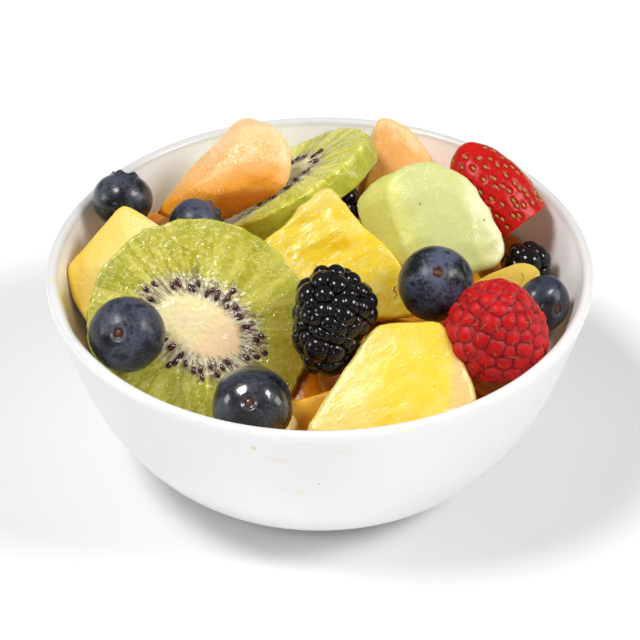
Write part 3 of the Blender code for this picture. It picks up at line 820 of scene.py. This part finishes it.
def raspberry_finish():
    """Soft red skins that let light through, painted paler where they meet, as painted light."""
    skin = Finish(
        "raspberry_skin", subsurface_weight=0.9, subsurface_radius=(5.0, 0.5, 0.35), sheen_weight=0.05,
        sheen_roughness=0.4, sheen_tint="ffb7b0", specular_ior_level=0.22,
    )
    # Painted light: the skins are painted paler where they meet, lifting the shade in the creases.
    pale_crease_light = skin.step(skin.attribute("height"), 0.86, 0.74) * skin.step(skin.noise(1.5), 0.3, 0.6)
    colour = skin.layered("b8050c", (skin.attribute("drupelet"), "c80c14"), (pale_crease_light * 0.55, "d23e42"))
    skin.set(base_color=colour, roughness=0.42, normal=skin.bump(skin.noise(0.35, 3.0), 0.08))
    return skin


bramble_skin = bramble_finish()
dry_hair = mottled("dry_hair", 2.0, "a0562a", "c89858", roughness=0.5)
BRAMBLE_PUSHES = (((0.95, 0.2, 0.25), 1.6), ((0.68, -0.44, -0.58), -3.6), ((-0.3, -0.57, -0.76), 2.2))
RASPBERRY_LOOK = (-110.0, 58.0)
RASPBERRY_PUSHES = (
    ((-0.84, -0.37, -0.4), 2.3), ((0.8, 0.36, 0.48), -1.4), ((0.45, -0.54, -0.72), 1.6),
)
for node, slot, look, count, seed, uneven, plump, pressed, pushes, finish, share, length in (
    ("bramble_middle", "bramble_skin", (106.0, 55.0),
     88, 3, 0.32, 1.36, 0.0, BRAMBLE_PUSHES, bramble_skin, 0.3, 1.3),
    ("bramble_right", "bramble_skin", (-30.0, 40.0), 22, 5, 0.22, 1.25, -0.03, (), bramble_skin, 0.3, 1.3),
    ("bramble_back", "bramble_skin", (-80.0, 70.0), 18, 8, 0.22, 1.25, -0.03, (), bramble_skin, 0.3, 1.3),
    ("raspberry", "raspberry_skin", RASPBERRY_LOOK,
     118, 2, 0.18, 1.5, 0.3, RASPBERRY_PUSHES, raspberry_finish(), 0.85, 2.6),
):
    tops, where = drupelet_berry(node, slot, look, count, seed, uneven, plump, pressed, pushes, finish)
    hairs(node + "_drupelets_hairs", tops, where, seed, share, length, slot)

where = seat("raspberry", facing(*RASPBERRY_LOOK))[0]
rings = ball_rings(60, 40)
reach = pushed_reach("raspberry", where, rings.reshape(-1, 3), RASPBERRY_PUSHES) - 0.3
rings *= reach.reshape(rings.shape[:2] + (1,))
mesh = loft("raspberry_core", rings[0].mean(0), rings, rings[-1].mean(0))
raspberry_core = mottled(
    "raspberry_core", 1.5, "bc0c14", "d0383e", roughness=0.45, subsurface_weight=0.8,
    subsurface_radius=(2.4, 0.35, 0.3), specular_ior_level=0.3,
)
add_piece("raspberry_core", mesh, raspberry_core, where, "raspberry_skin")


# ---------------------------------------------------------------- strawberry
# The pointed part of a strawberry with its hull end cut off flat: glossy red skin with gold seeds, each
# one in its own small dimple, and paler flesh at the cut.

STRAWBERRY_SIDES = 220
STRAWBERRY_LEVELS = 150
STRAWBERRY_FLATNESS = 0.93
OUTWARD_LEAN = 0.35
ACHENE_COUNT = 140


def strawberry_profile(t, length, width):
    """Radius and height at t from 0 at the tip to 1 at the cut."""
    girth = (1.0 - (1.0 - t) ** 2.6) ** 0.5
    shoulder = 1.0 - 0.1 * np.maximum(0.0, t - 0.7) / 0.3
    return width / 2.0 * girth * shoulder, length * (0.5 - t)


def strawberry_finish(where, length):
    """Red skin with painted shade in its dimples, and pale flesh at the cut."""
    skin = Finish(
        "strawberry_skin", where, specular_ior_level=0.22, subsurface_weight=0.4,
        subsurface_radius=(1.5, 0.3, 0.2),
    )
    grain = skin.noise(0.6, 3.0)
    colour = skin.layered(
        "c8160c",
        (skin.noise(5.0), "b80c06"),
        (skin.step(grain, 0.5, 0.8) * 0.25, "d2453a"),
        # Painted shade: the dimples round the seeds are painted darker.
        (skin.attribute("dimple") * 0.75, "8a0806"),
        (skin.step(skin.z, -0.488 * length, -0.5 * length) * 0.8, "dd9c86"),
    )
    skin.set(base_color=colour, roughness=0.3, normal=skin.bump(grain, 0.05))
    return skin


where, size = seat("strawberry", facing(141.0, 40.0))
length = size[2]
width = size[0] - 0.2
t = np.concatenate([np.linspace(0.002, 0.97, STRAWBERRY_LEVELS) ** 1.3, [0.985, 0.995]])
reach, level = strawberry_profile(t, length, width)
reach = np.append(reach, reach[-1] * np.array((0.985, 0.95, 0.88, 0.5, 0.2)))
level = np.append(level, -length * np.array((0.492, 0.498, 0.5, 0.5, 0.5)))
rings = turned(reach, level, STRAWBERRY_SIDES)
flat = rings.reshape(-1, 3) * (1.0, STRAWBERRY_FLATNESS, 1.0)
chooser = random.Random(4)
achenes = []
for k in range(ACHENE_COUNT):
    share = 0.03 + 0.9 * ((k + 1.6) / ACHENE_COUNT) ** 0.66
    angle = GOLDEN_TURN * k + chooser.uniform(-0.15, 0.15)
    girth, height = strawberry_profile(share, length, width)
    achenes.append((girth * math.cos(angle), STRAWBERRY_FLATNESS * girth * math.sin(angle), height))
achenes = np.array(achenes)
out = unit(flat * (1.0, 1.0, OUTWARD_LEAN))
nearest = np.full(len(flat), 9.0)
for achene in achenes:
    nearest = np.minimum(nearest, np.linalg.norm((flat - achene) * (1.0, 1.0, 0.75), axis=1))
skin_side = flat[:, 2] > -0.485 * length
sunk = (0.24 * hump(nearest, 0.7, 3) - 0.03 * hump(nearest - 1.5, 0.7)) * skin_side
flat = flat - out * sunk[:, None]
flat = flat + out * (0.3 * ripple(flat, 5.0, 3) + 0.06 * ripple(flat, 1.3, 4) - 0.1)[:, None]
tip = (0.0, 0.0, 0.5 * length - 0.1)
mesh = loft("strawberry_skin", tip, flat.reshape(rings.shape), (0.0, 0.0, -0.5 * length))
store(mesh, "dimple", np.concatenate([[0.0], hump(nearest, 0.95) * skin_side, [0.0]]))
add_piece("strawberry_skin", mesh, strawberry_finish(where, length), where, "strawberry_skin", "strawberry")

seeds = []
for point in achenes:
    out = Vector((point[0], point[1] / STRAWBERRY_FLATNESS, OUTWARD_LEAN * point[2] + 1.0)).normalized()
    down = (Vector((0.0, 0.0, -1.0)) - out * -out.z).normalized()
    axes = np.array(Matrix((down, out.cross(down), out)))
    seeds.append(teardrop(1.25, 0.68) @ axes + point - np.array(out) * 0.25)
mesh = skins("strawberry_seeds", seeds, SEED_SIDES)
achene_coat = mottled("strawberry_seed_coat", 3.0, "b98a35", "8e6a1e", roughness=0.4)
add_piece("strawberry_seeds", mesh, achene_coat, where, "strawberry_skin")


# ---------------------------------------------------------------- melon wedges and chunks
# Chunks cut from ripe melons with a kitchen knife. Cut faces are wet and grainy with softly rounded edges,
# and the flesh deepens towards the seed side or turns greener towards the rind; on the left cantaloupe this
# run also holds painted light and shade.

CHUNK_VOXEL = 0.4


def read_vectors(items, name):
    """Rows of three numbers from the points or the normals of a mesh."""
    rows = np.empty(3 * len(items), np.float32)
    items.foreach_get(name, rows)
    return rows.reshape(-1, 3).astype(float)


def write_points(mesh, points):
    mesh.vertices.foreach_set("co", (points * MM).astype(np.float32).ravel())


def carved(name, node, turn, voxel, rounds, relief):
    """Fine copy of a solid on its own axes, softened and then given its surface relief."""
    where = seat(node, turn)[0]
    draft = bpy.data.objects.new(name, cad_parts[node].data.copy())
    draft.data.transform(where.inverted())
    draft.data.materials.clear()
    bpy.context.scene.collection.objects.link(draft)
    remesh = draft.modifiers.new("fine", "REMESH")
    remesh.mode = "VOXEL"
    remesh.voxel_size = voxel * MM
    draft.modifiers.new("soft", "SMOOTH").iterations = rounds
    graph = bpy.context.evaluated_depsgraph_get()
    mesh = bpy.data.meshes.new_from_object(draft.evaluated_get(graph))
    bpy.data.objects.remove(draft)
    points = read_vectors(mesh.vertices, "co") / MM
    normals = read_vectors(mesh.vertex_normals, "vector")
    rise = relief(points, normals)
    write_points(mesh, points + normals * rise[:, None])
    store(mesh, "relief", rise)
    mesh.shade_smooth()
    mesh.name = name
    return mesh, where


def lump(points, middle, width, rise):
    """A local rise about a point."""
    return rise * hump(np.linalg.norm(points - middle, axis=1), width)


def knife_relief(points, normals):
    """Slow waves and a fine grain left by the knife."""
    waves = 0.14 * ripple(points, 6.0, 3) + 0.05 * ripple(points, 1.6, 4)
    return waves + 0.03 * ripple(points, 0.7, 5) - 0.1


def scalloped_relief(points, normals):
    """Knife relief with bites along the right and upper edges."""
    edge = np.minimum(ramp(points[:, 0], 7.0, 11.0) + ramp(points[:, 1], 7.0, 11.0), 1.0)
    bites = 0.1 * ripple(points, 3.2, 6) + edge * (0.45 * ripple(points, 3.2, 7) - 0.1)
    return knife_relief(points, normals) + bites


def cornered_relief(points, normals):
    """Knife relief on a piece whose top corner stays crisp."""
    return knife_relief(points, normals) + lump(points, (-1.6, 9.4, 3.6), 2.8, 0.7)


def cut_flesh(name, where, shades, fall, stops, grain=0.08, shine=0.5, scatter=(1.8, 1.4, 0.8)):
    """Juicy flesh, from pale through its main colour to deep along fall, with wet grainy patches and
    painted glints.
    """
    flesh = Finish(name, where, subsurface_weight=0.6, subsurface_radius=scatter, specular_ior_level=0.5)
    pale, main, deep = shades
    beads = flesh.noise(0.55)
    patch = flesh.step(flesh.noise(5.0), 0.38, 0.58)
    sparkle = flesh.step(beads, 0.54, 0.64) * patch
    level = flesh.along(fall) + (flesh.noise(7.0) - 0.5) * 6.0
    glint_dots = flesh.step(flesh.cells(0.6), 0.3, 0.16) * flesh.step(flesh.noise(3.5), 0.42, 0.6)
    colour = flesh.layered(
        pale,
        (flesh.step(level, *stops[:2]), main),
        (flesh.step(level, *stops[2:]), deep),
        # Painted highlights: the sparkle and the dots are pale glints of wet cells.
        (sparkle * 0.45, pale),
        (glint_dots * shine, "f8f4e0"),
    )
    wet = beads * (0.3 + patch * 0.7) + flesh.noise(1.6) * 0.5
    flesh.set(base_color=colour, roughness=0.44 - sparkle * 0.34, normal=flesh.bump(wet, grain))
    return flesh


def shaded_lower_edge(flesh):
    """Darken the lower right edge with painted shade along the underside."""
    low = flesh.along((0.25, -0.97, 0.0)) + (flesh.noise(6.0) - 0.5) * 3.0
    flesh.tint((flesh.step(low, 4.5, 8.0) * flesh.step(flesh.x, -6.0, 2.0) * 0.9, "b85e04"))


def sparkle_band(flesh):
    """Whiten fine dots in a broad band across the upper face, as painted sparkle of wet cells."""
    level = flesh.along((0.35, -0.9, -0.2)) + (flesh.noise(7.0) - 0.5) * 3.0
    band = flesh.step(level, -9.0, -6.0) * flesh.step(level, 1.0, -2.5)
    flesh.tint((flesh.step(flesh.noise(0.55, 3.0), 0.47, 0.62) * band * 0.55, "f8e0b4"))


def clear_end(flesh):
    """Lighten the wedge's thin end, which lets light through."""
    flesh.tint((flesh.step(flesh.along((0.95, 0.3, 0.0)), 10.0, 14.5) * 0.5, "f6dcae"))


def dark_specks(flesh):
    """Add two small dark specks."""
    small = (0.4, 0.4, 0.4)
    flesh.dab(((22.2, 11.9, 55.7), small, "7a5a2a", 0.8), ((36.4, 10.5, 52.2), small, "8a6a34", 0.7))


for node, slot, look, rounds, relief, extras, shades, fall, stops in (
    # On this wedge the run from pale to deep goes down its face, so it is partly painted light: paler on
    # the lit upper face and deeper towards the shaded underside.
    ("cantaloupe_left", "orange_melon_flesh", (-105.0, 44.0), 4, knife_relief,
     (shaded_lower_edge, sparkle_band, clear_end),
     ("f4c890", "f0b263", "ec9c14"), (0.35, -0.9, -0.2), (-7.0, -2.0, -0.5, 4.5)),
    ("cantaloupe_back", "orange_melon_flesh", (-80.0, 40.0), 1, cornered_relief, (),
     ("f2c488", "edb05c", "e6a430"), (-0.45, -0.85, 0.0), (-7.0, -2.0, 0.0, 8.0)),
    ("honeydew", "green_melon_flesh", (-85.0, 45.0), 4, scalloped_relief, (dark_specks,),
     ("ebe6c0", "ccd086", "d8d874"), (-1.0, -0.3, 0.0), (-15.0, -7.0, 2.0, 6.5)),
):
    name = node + "_flesh"
    mesh, where = carved(name, node, facing(*look), CHUNK_VOXEL, rounds, relief)
    flesh = cut_flesh(name, where, shades, fall, stops)
    for extra in extras:
        extra(flesh)
    add_piece(name, mesh, flesh, where, slot, node)


# ---------------------------------------------------------------- pineapple chunks
# Two chunks of fresh pineapple. The flesh is made of long soft fibres, so cut faces show cream ridges,
# saturated yellow hollows and tiny dark specks.

FIBRE_LIE = 30.0


def fibre_relief(points, hollow):
    """Slow hollows of this depth and short fibres that lie aslant on the shown face."""
    lie = math.radians(FIBRE_LIE)
    across = points[:, 0] * math.cos(lie) + points[:, 1] * math.sin(lie)
    along = points[:, 1] * math.cos(lie) - points[:, 0] * math.sin(lie)
    fibres = np.stack([0.35 * across, along, points[:, 2]], -1)
    coarse = hollow * ripple(points, 6.5, 3) + 0.22 * ripple(fibres, 2.6, 2) + 0.1 * ripple(fibres, 1.1, 2)
    return coarse + 0.05 * ripple(fibres, 0.55, 6) + 0.08 * ripple(points, 1.6, 7) - 0.3


def torn_relief(points, normals):
    """Hollows, a fold across the middle, a pointed far corner and a torn scrap at the left corner."""
    fold = hump(points[:, 1] - 2.0 - 0.15 * points[:, 0], 2.0) * hump(points[:, 0] + 2.0, 7.0)
    scrap = lump(points, (-7.5, 10.5, 2.0), 2.4, 2.2) + lump(points, (-11.0, 7.0, 2.0), 1.8, 1.2)
    tip = lump(points, (-3.6, 14.9, 2.0), 4.5, 1.5)
    return fibre_relief(points, 0.4) - 0.5 * fold * (normals[:, 2] > 0.5) + scrap + tip


def sliced_relief(points, normals):
    """Shallow hollows on a cleaner cut."""
    return 0.6 * fibre_relief(points, 0.2)


def lean_out(mesh, toward, depth, amount):
    """Stretch the flank that faces a direction out along -X, over this depth."""
    points = read_vectors(mesh.vertices, "co") / MM
    out = points @ np.array(toward)
    points[:, 0] -= amount * ramp(out, out.max() - depth, out.max())
    write_points(mesh, points)


def pineapple_finish(name, where, shades, fall, stops):
    """Cut flesh with pale clouds, saturated hollows and short wet glints that lie aslant."""
    flesh = cut_flesh(name, where, shades, fall, stops, shine=0.1, scatter=(1.7, 1.6, 0.5))
    fibres = flesh.noise(0.7, 2.0, flesh.stretched(-FIBRE_LIE, 0.35))
    glints = flesh.noise(0.45, 1.0, flesh.stretched(-FIBRE_LIE, 0.4))
    depth = flesh.attribute("relief") + (flesh.noise(2.5) - 0.5) * 0.4
    hollows = flesh.step(depth, -0.35, -0.75) * 0.6
    wet_patch = flesh.step(flesh.noise(4.0), 0.46, 0.56)
    specks = flesh.step(flesh.cells(3.4), 0.05, 0.03) * flesh.step(flesh.noise(5.0), 0.5, 0.6)
    flesh.tint(
        (flesh.step(flesh.noise(5.0), 0.46, 0.68) * 0.45, "eedc82"),
        (hollows * 0.8, "ecc404"),
        (flesh.step(fibres, 0.54, 0.66) * (0.14 - hollows * 0.06), "f2e28c"),
        # Painted highlights: these pale streaks are glints on the wet fibres.
        (flesh.step(glints, 0.62, 0.7) * (0.12 + wet_patch * 0.4), "fdf8da"),
        (specks * 0.5, "8a6a20"),
    )
    wet = fibres * 0.5 + glints * 0.5
    gloss = flesh.step(wet, 0.46, 0.6) * 0.12 + hollows * 0.08
    flesh.set(roughness=0.32 - gloss, normal=flesh.bump(wet, 0.17))
    return flesh


for node, look, relief, lean, shades, fall, stops, spots in (
    ("pineapple_middle", (-90.0, 52.0), torn_relief, (),
     ("e6ce70", "e4c626", "e2bc0c"), (0.2, -1.0, 0.0), (-16.0, -9.0, 5.0, 14.0),
     (((4.2, 4.0, 50.6), (5.0, 2.4, 2.4), "e4b800", 0.9),
      ((8.0, 1.3, 48.4), (2.0, 1.7, 1.7), "e4b800", 0.9),
      ((-6.5, 14.5, 51.0), (4.0, 4.0, 4.0), "e0cc8c", 0.6))),
    ("pineapple_front", (-90.0, 50.0), sliced_relief, ((-0.87, 0.5, 0.0), 8.0, 2.9),
     ("ead476", "edd03c", "e8c47c"), (1.0, 0.0, 0.0), (-10.0, -2.0, 9.0, 13.0), ()),
):
    name = node + "_flesh"
    mesh, where = carved(name, node, facing(*look), CHUNK_VOXEL, 2, relief)
    if lean:
        lean_out(mesh, *lean)
    flesh = pineapple_finish(name, where, shades, fall, stops)
    flesh.dab(*spots)
    add_piece(name, mesh, flesh, where, "pineapple_flesh", node)


# ---------------------------------------------------------------- mango chunks and lower fruit
# Smooth golden mango cut into rough blocks, and under them the rest of the salad, which shows only in
# the gaps as wet mixed fruit.

MANGO_VOXEL = 0.45
HEAP_VOXEL = 0.8


def mango_relief(points, normals):
    return 0.3 * ripple(points, 7.0, 8) + 0.05 * ripple(points, 1.2, 9) - 0.15


for node, look, stretch, shades, fall, stops in (
    ("mango_left", (-120.0, 50.0), 1.12,
     ("ead690", "eacb5c", "e6be30"), (-1.0, -0.3, 0.0), (-9.0, 3.0, 8.0, 11.0)),
    ("mango_right", (-100.0, 60.0), 1.0,
     ("d4b850", "c6a226", "ba9012"), (0.0, -1.0, 0.0), (-4.0, 0.0, 2.0, 4.0)),
    ("mango_under_bramble", (-60.0, 42.0), 1.0,
     ("ea9a18", "e48e0c", "cc7000"), (0.0, -1.0, 0.0), (-6.0, -1.0, 1.0, 6.0)),
    ("mango_front", (-80.0, 40.0), 2.1,
     ("eeb224", "e09c08", "d48c04"), (0.0, -1.0, 0.0), (-4.0, 0.0, 1.0, 4.0)),
    ("mango_under_raspberry", (-38.0, 62.0), 1.0,
     ("e29620", "d8800c", "bc6804"), (0.0, -1.0, 0.0), (-6.0, 0.0, 1.0, 6.0)),
):
    name = node + "_flesh"
    mesh, where = carved(name, node, facing(*look), MANGO_VOXEL, 7, mango_relief)
    mesh.transform(Matrix.Diagonal((stretch, 1.0, 1.0, 1.0)))
    flesh = cut_flesh(name, where, shades, fall, stops, grain=0.1, shine=0.15)
    add_piece(name, mesh, flesh, where, "golden_flesh", node)


HEAP_LIFTS = (
    ((-48.0, -6.0), 11.0, 8.0), ((-3.0, -21.0), 8.0, 12.0), ((-8.0, -36.0), 6.0, 8.0),
    ((44.0, 24.0), 7.0, -6.0),
)
HEAP_CHUNKS = 44
HEAP_LOW = (-52.0, -52.0, 16.0)
HEAP_HIGH = (52.0, 52.0, 34.0)
chunk_middles = np.random.default_rng(12).uniform(HEAP_LOW, HEAP_HIGH, (HEAP_CHUNKS, 3))
chunk_shades = np.random.default_rng(5).uniform(0.0, 1.0, HEAP_CHUNKS)


def chunk_reaches(points):
    """Distance from each point to the middle of each chunk in the heap."""
    return np.linalg.norm((points[:, None] - chunk_middles) * (1.0, 1.0, 0.5), axis=2)


def under_gap(points, middle, width):
    """1 under the middle of a gap in the fruit above, fading to 0 past this width."""
    return hump(np.linalg.norm(points[:, :2] - middle, axis=1), width)


def heap_relief(points, normals):
    """Chunks that part in shallow grooves, which fade where the fruit above leaves a gap."""
    up = ramp(normals[:, 2], 0.0, 1.0)
    reaches = np.sort(chunk_reaches(points), axis=1)
    inside = reaches[:, 1] - reaches[:, 0]
    heaped = up * (0.4 * ripple(points, 5.0, 1) + 0.12 * ripple(points, 1.5, 2)) - 0.35
    grooves = 0.25 * np.minimum(inside, 5.0) - 1.2 * hump(inside, 1.6)
    for middle, width, _ in HEAP_LIFTS:
        grooves = grooves * (1.0 - under_gap(points, middle, width))
    return heaped + up * grooves


mesh, where = carved("lower_fruit_flesh", "lower_fruit", Matrix.Identity(3), HEAP_VOXEL, 3, heap_relief)
points = read_vectors(mesh.vertices, "co") / MM
upward = ramp(read_vectors(mesh.vertex_normals, "vector")[:, 2], 0.0, 0.5)
store(mesh, "chunk", chunk_shades[chunk_reaches(points).argmin(axis=1)])
for middle, width, lift in HEAP_LIFTS:
    points[:, 2] += upward * lift * under_gap(points, middle, width)
write_points(mesh, points)
wet_mix = Finish("lower_fruit_flesh", subsurface_weight=0.7, subsurface_radius=(2.2, 1.3, 0.4))
pick = wet_mix.attribute("chunk")
mixed = wet_mix.layered(
    "e6a624", (wet_mix.step(pick, 0.3, 0.5), "e8c436"), (wet_mix.step(pick, 0.6, 0.8), "e0922a"),
    (wet_mix.spot((-2.0, -22.0, 35.0), (9.0, 9.0, 14.0)), "cc7600"),
    (wet_mix.spot((-6.0, -39.0, 34.0), (5.0, 5.0, 6.0)), "e8c22a"),
)
wet_mix.set(base_color=mixed, roughness=0.3, normal=wet_mix.bump(wet_mix.noise(0.8, 3.0), 0.15))
add_piece("lower_fruit_flesh", mesh, wet_mix, where, "golden_flesh", "lower_fruit")


# ---------------------------------------------------------------- stray hairs
# Two dry brown hairs that have come off the berries: a hooked one in the dip beside the middle blueberry
# and a short one on the mango at the right. Each one lies on the wet fruit under it.

# Each hair is drawn on a plane that faces up and to the front.
HAIR_RIGHT = np.array((1.0, 0.0, 0.0))
HAIR_UP = np.array((0.0, 0.6, 0.8))
HAIR_OUT = np.array((0.0, -0.8, 0.6))
brown_hair = mottled("brown_hair", 2.0, "5c2410", "84481e", roughness=0.5)
for name, middle, thickness, bends in (
    ("hooked_hair", (16.3, -13.6, 50.3), 0.36,
     ((0.2, 1.6), (-0.3, 1.0), (-0.4, 0.4), (0.1, -0.1), (0.2, -0.6),
      (-0.1, -1.1), (-0.4, -1.4), (0.1, -1.6), (0.6, -1.3))),
    ("short_hair", (44.0, -6.5, 48.6), 0.22,
     ((-0.3, 1.3), (-0.1, 1.0), (0.1, 0.7), (0.2, 0.3), (0.2, 0.0),
      (0.1, -0.3), (0.0, -0.6), (-0.2, -0.9), (-0.4, -1.1))),
):
    path = [middle + HAIR_RIGHT * x + HAIR_UP * y + HAIR_OUT * 0.3 * math.cos(x + y) for x, y in bends]
    mesh = skins(name, [strand(path, thickness)], HAIR_SIDES)
    add_piece(name, mesh, brown_hair, Matrix.Identity(4), "bramble_skin")


# ---------------------------------------------------------------- floor, light and camera
# A plain pale floor in a white room, six soft lamps round the bowl, and a camera that looks down at it.

FLOOR_REACH = 3.0
FLOOR_DROP = 0.0002
floor_mesh = bpy.data.meshes.new("floor")
corners = [(x * FLOOR_REACH, y * FLOOR_REACH, -FLOOR_DROP) for x, y in ((-1, -1), (1, -1), (1, 1), (-1, 1))]
floor_mesh.from_pydata(corners, [], [(0, 1, 2, 3)])
floor_finish = Finish(
    "floor_paper", base_color=(0.8, 0.8, 0.8), roughness=0.9, specular_ior_level=0.1,
    emission_color=(1.0, 1.0, 1.0), emission_strength=0.03,
)
floor_mesh.materials.append(floor_finish.material)
floor = bpy.data.objects.new("floor", floor_mesh)
bpy.context.scene.collection.objects.link(floor)

LAMP_REACH = 2.4
LAMP_AIM = Vector((0.0, 0.0, 0.04))
for name, toward, size, power in (
    ("high_left", (-0.43, -0.14, 0.89), (0.84, 0.66), 40.0),
    ("high_right", (0.70, -0.20, 0.69), (0.84, 0.66), 32.0),
    ("low_left", (-0.49, -0.84, 0.30), (0.66, 0.30), 2.2),
    ("low_right", (0.32, -0.93, 0.24), (0.30, 0.66), 2.8),
    ("wide_left", (-0.95, -0.10, 0.30), (0.80, 0.80), 12.0),
    ("wide_right", (0.95, -0.10, 0.30), (0.80, 0.80), 9.0),
):
    lamp = bpy.data.lights.new(name, "AREA")
    lamp.shape = "RECTANGLE"
    lamp.size, lamp.size_y = size
    lamp.energy = power
    light = bpy.data.objects.new(name, lamp)
    toward = Vector(toward).normalized()
    light.location = toward * LAMP_REACH + LAMP_AIM
    light.rotation_euler = toward.to_track_quat("Z", "Y").to_euler()
    bpy.context.scene.collection.objects.link(light)

room = bpy.data.worlds.new("white_room")
room.use_nodes = True
walls = room.node_tree.nodes
direction = walls.new("ShaderNodeTexCoord").outputs["Generated"]
split = walls.new("ShaderNodeSeparateXYZ")
room.node_tree.links.new(direction, split.inputs[0])
ceiling = walls.new("ShaderNodeMapRange")
room.node_tree.links.new(split.outputs[2], ceiling.inputs["Value"])
for socket, value in (("From Min", 0.05), ("From Max", 0.6), ("To Min", 0.05), ("To Max", 0.26)):
    ceiling.inputs[socket].default_value = value
room.node_tree.links.new(ceiling.outputs[0], walls["Background"].inputs["Strength"])
walls["Background"].inputs["Color"].default_value = (1.0, 1.0, 1.0, 1.0)
bpy.context.scene.world = room
bpy.context.scene.view_settings.view_transform = "Standard"

CAMERA_DIP = math.radians(36.67)
CAMERA_ROLL = math.radians(-0.394)
CAMERA_REACH = 0.7
CAMERA_AIM = Vector((-0.00005, 0.0, 0.03284))
lens = bpy.data.cameras.new("camera")
lens.sensor_width = 36.0
lens.lens = 177.27
lens.clip_end = 20.0
camera = bpy.data.objects.new("camera", lens)
back = Vector((0.0, -math.cos(CAMERA_DIP), math.sin(CAMERA_DIP)))
tilt = Matrix.Rotation(math.pi / 2.0 - CAMERA_DIP, 4, "X") @ Matrix.Rotation(CAMERA_ROLL, 4, "Z")
camera.matrix_world = Matrix.Translation(CAMERA_AIM + back * CAMERA_REACH) @ tilt
bpy.context.scene.collection.objects.link(camera)
bpy.context.scene.camera = camera
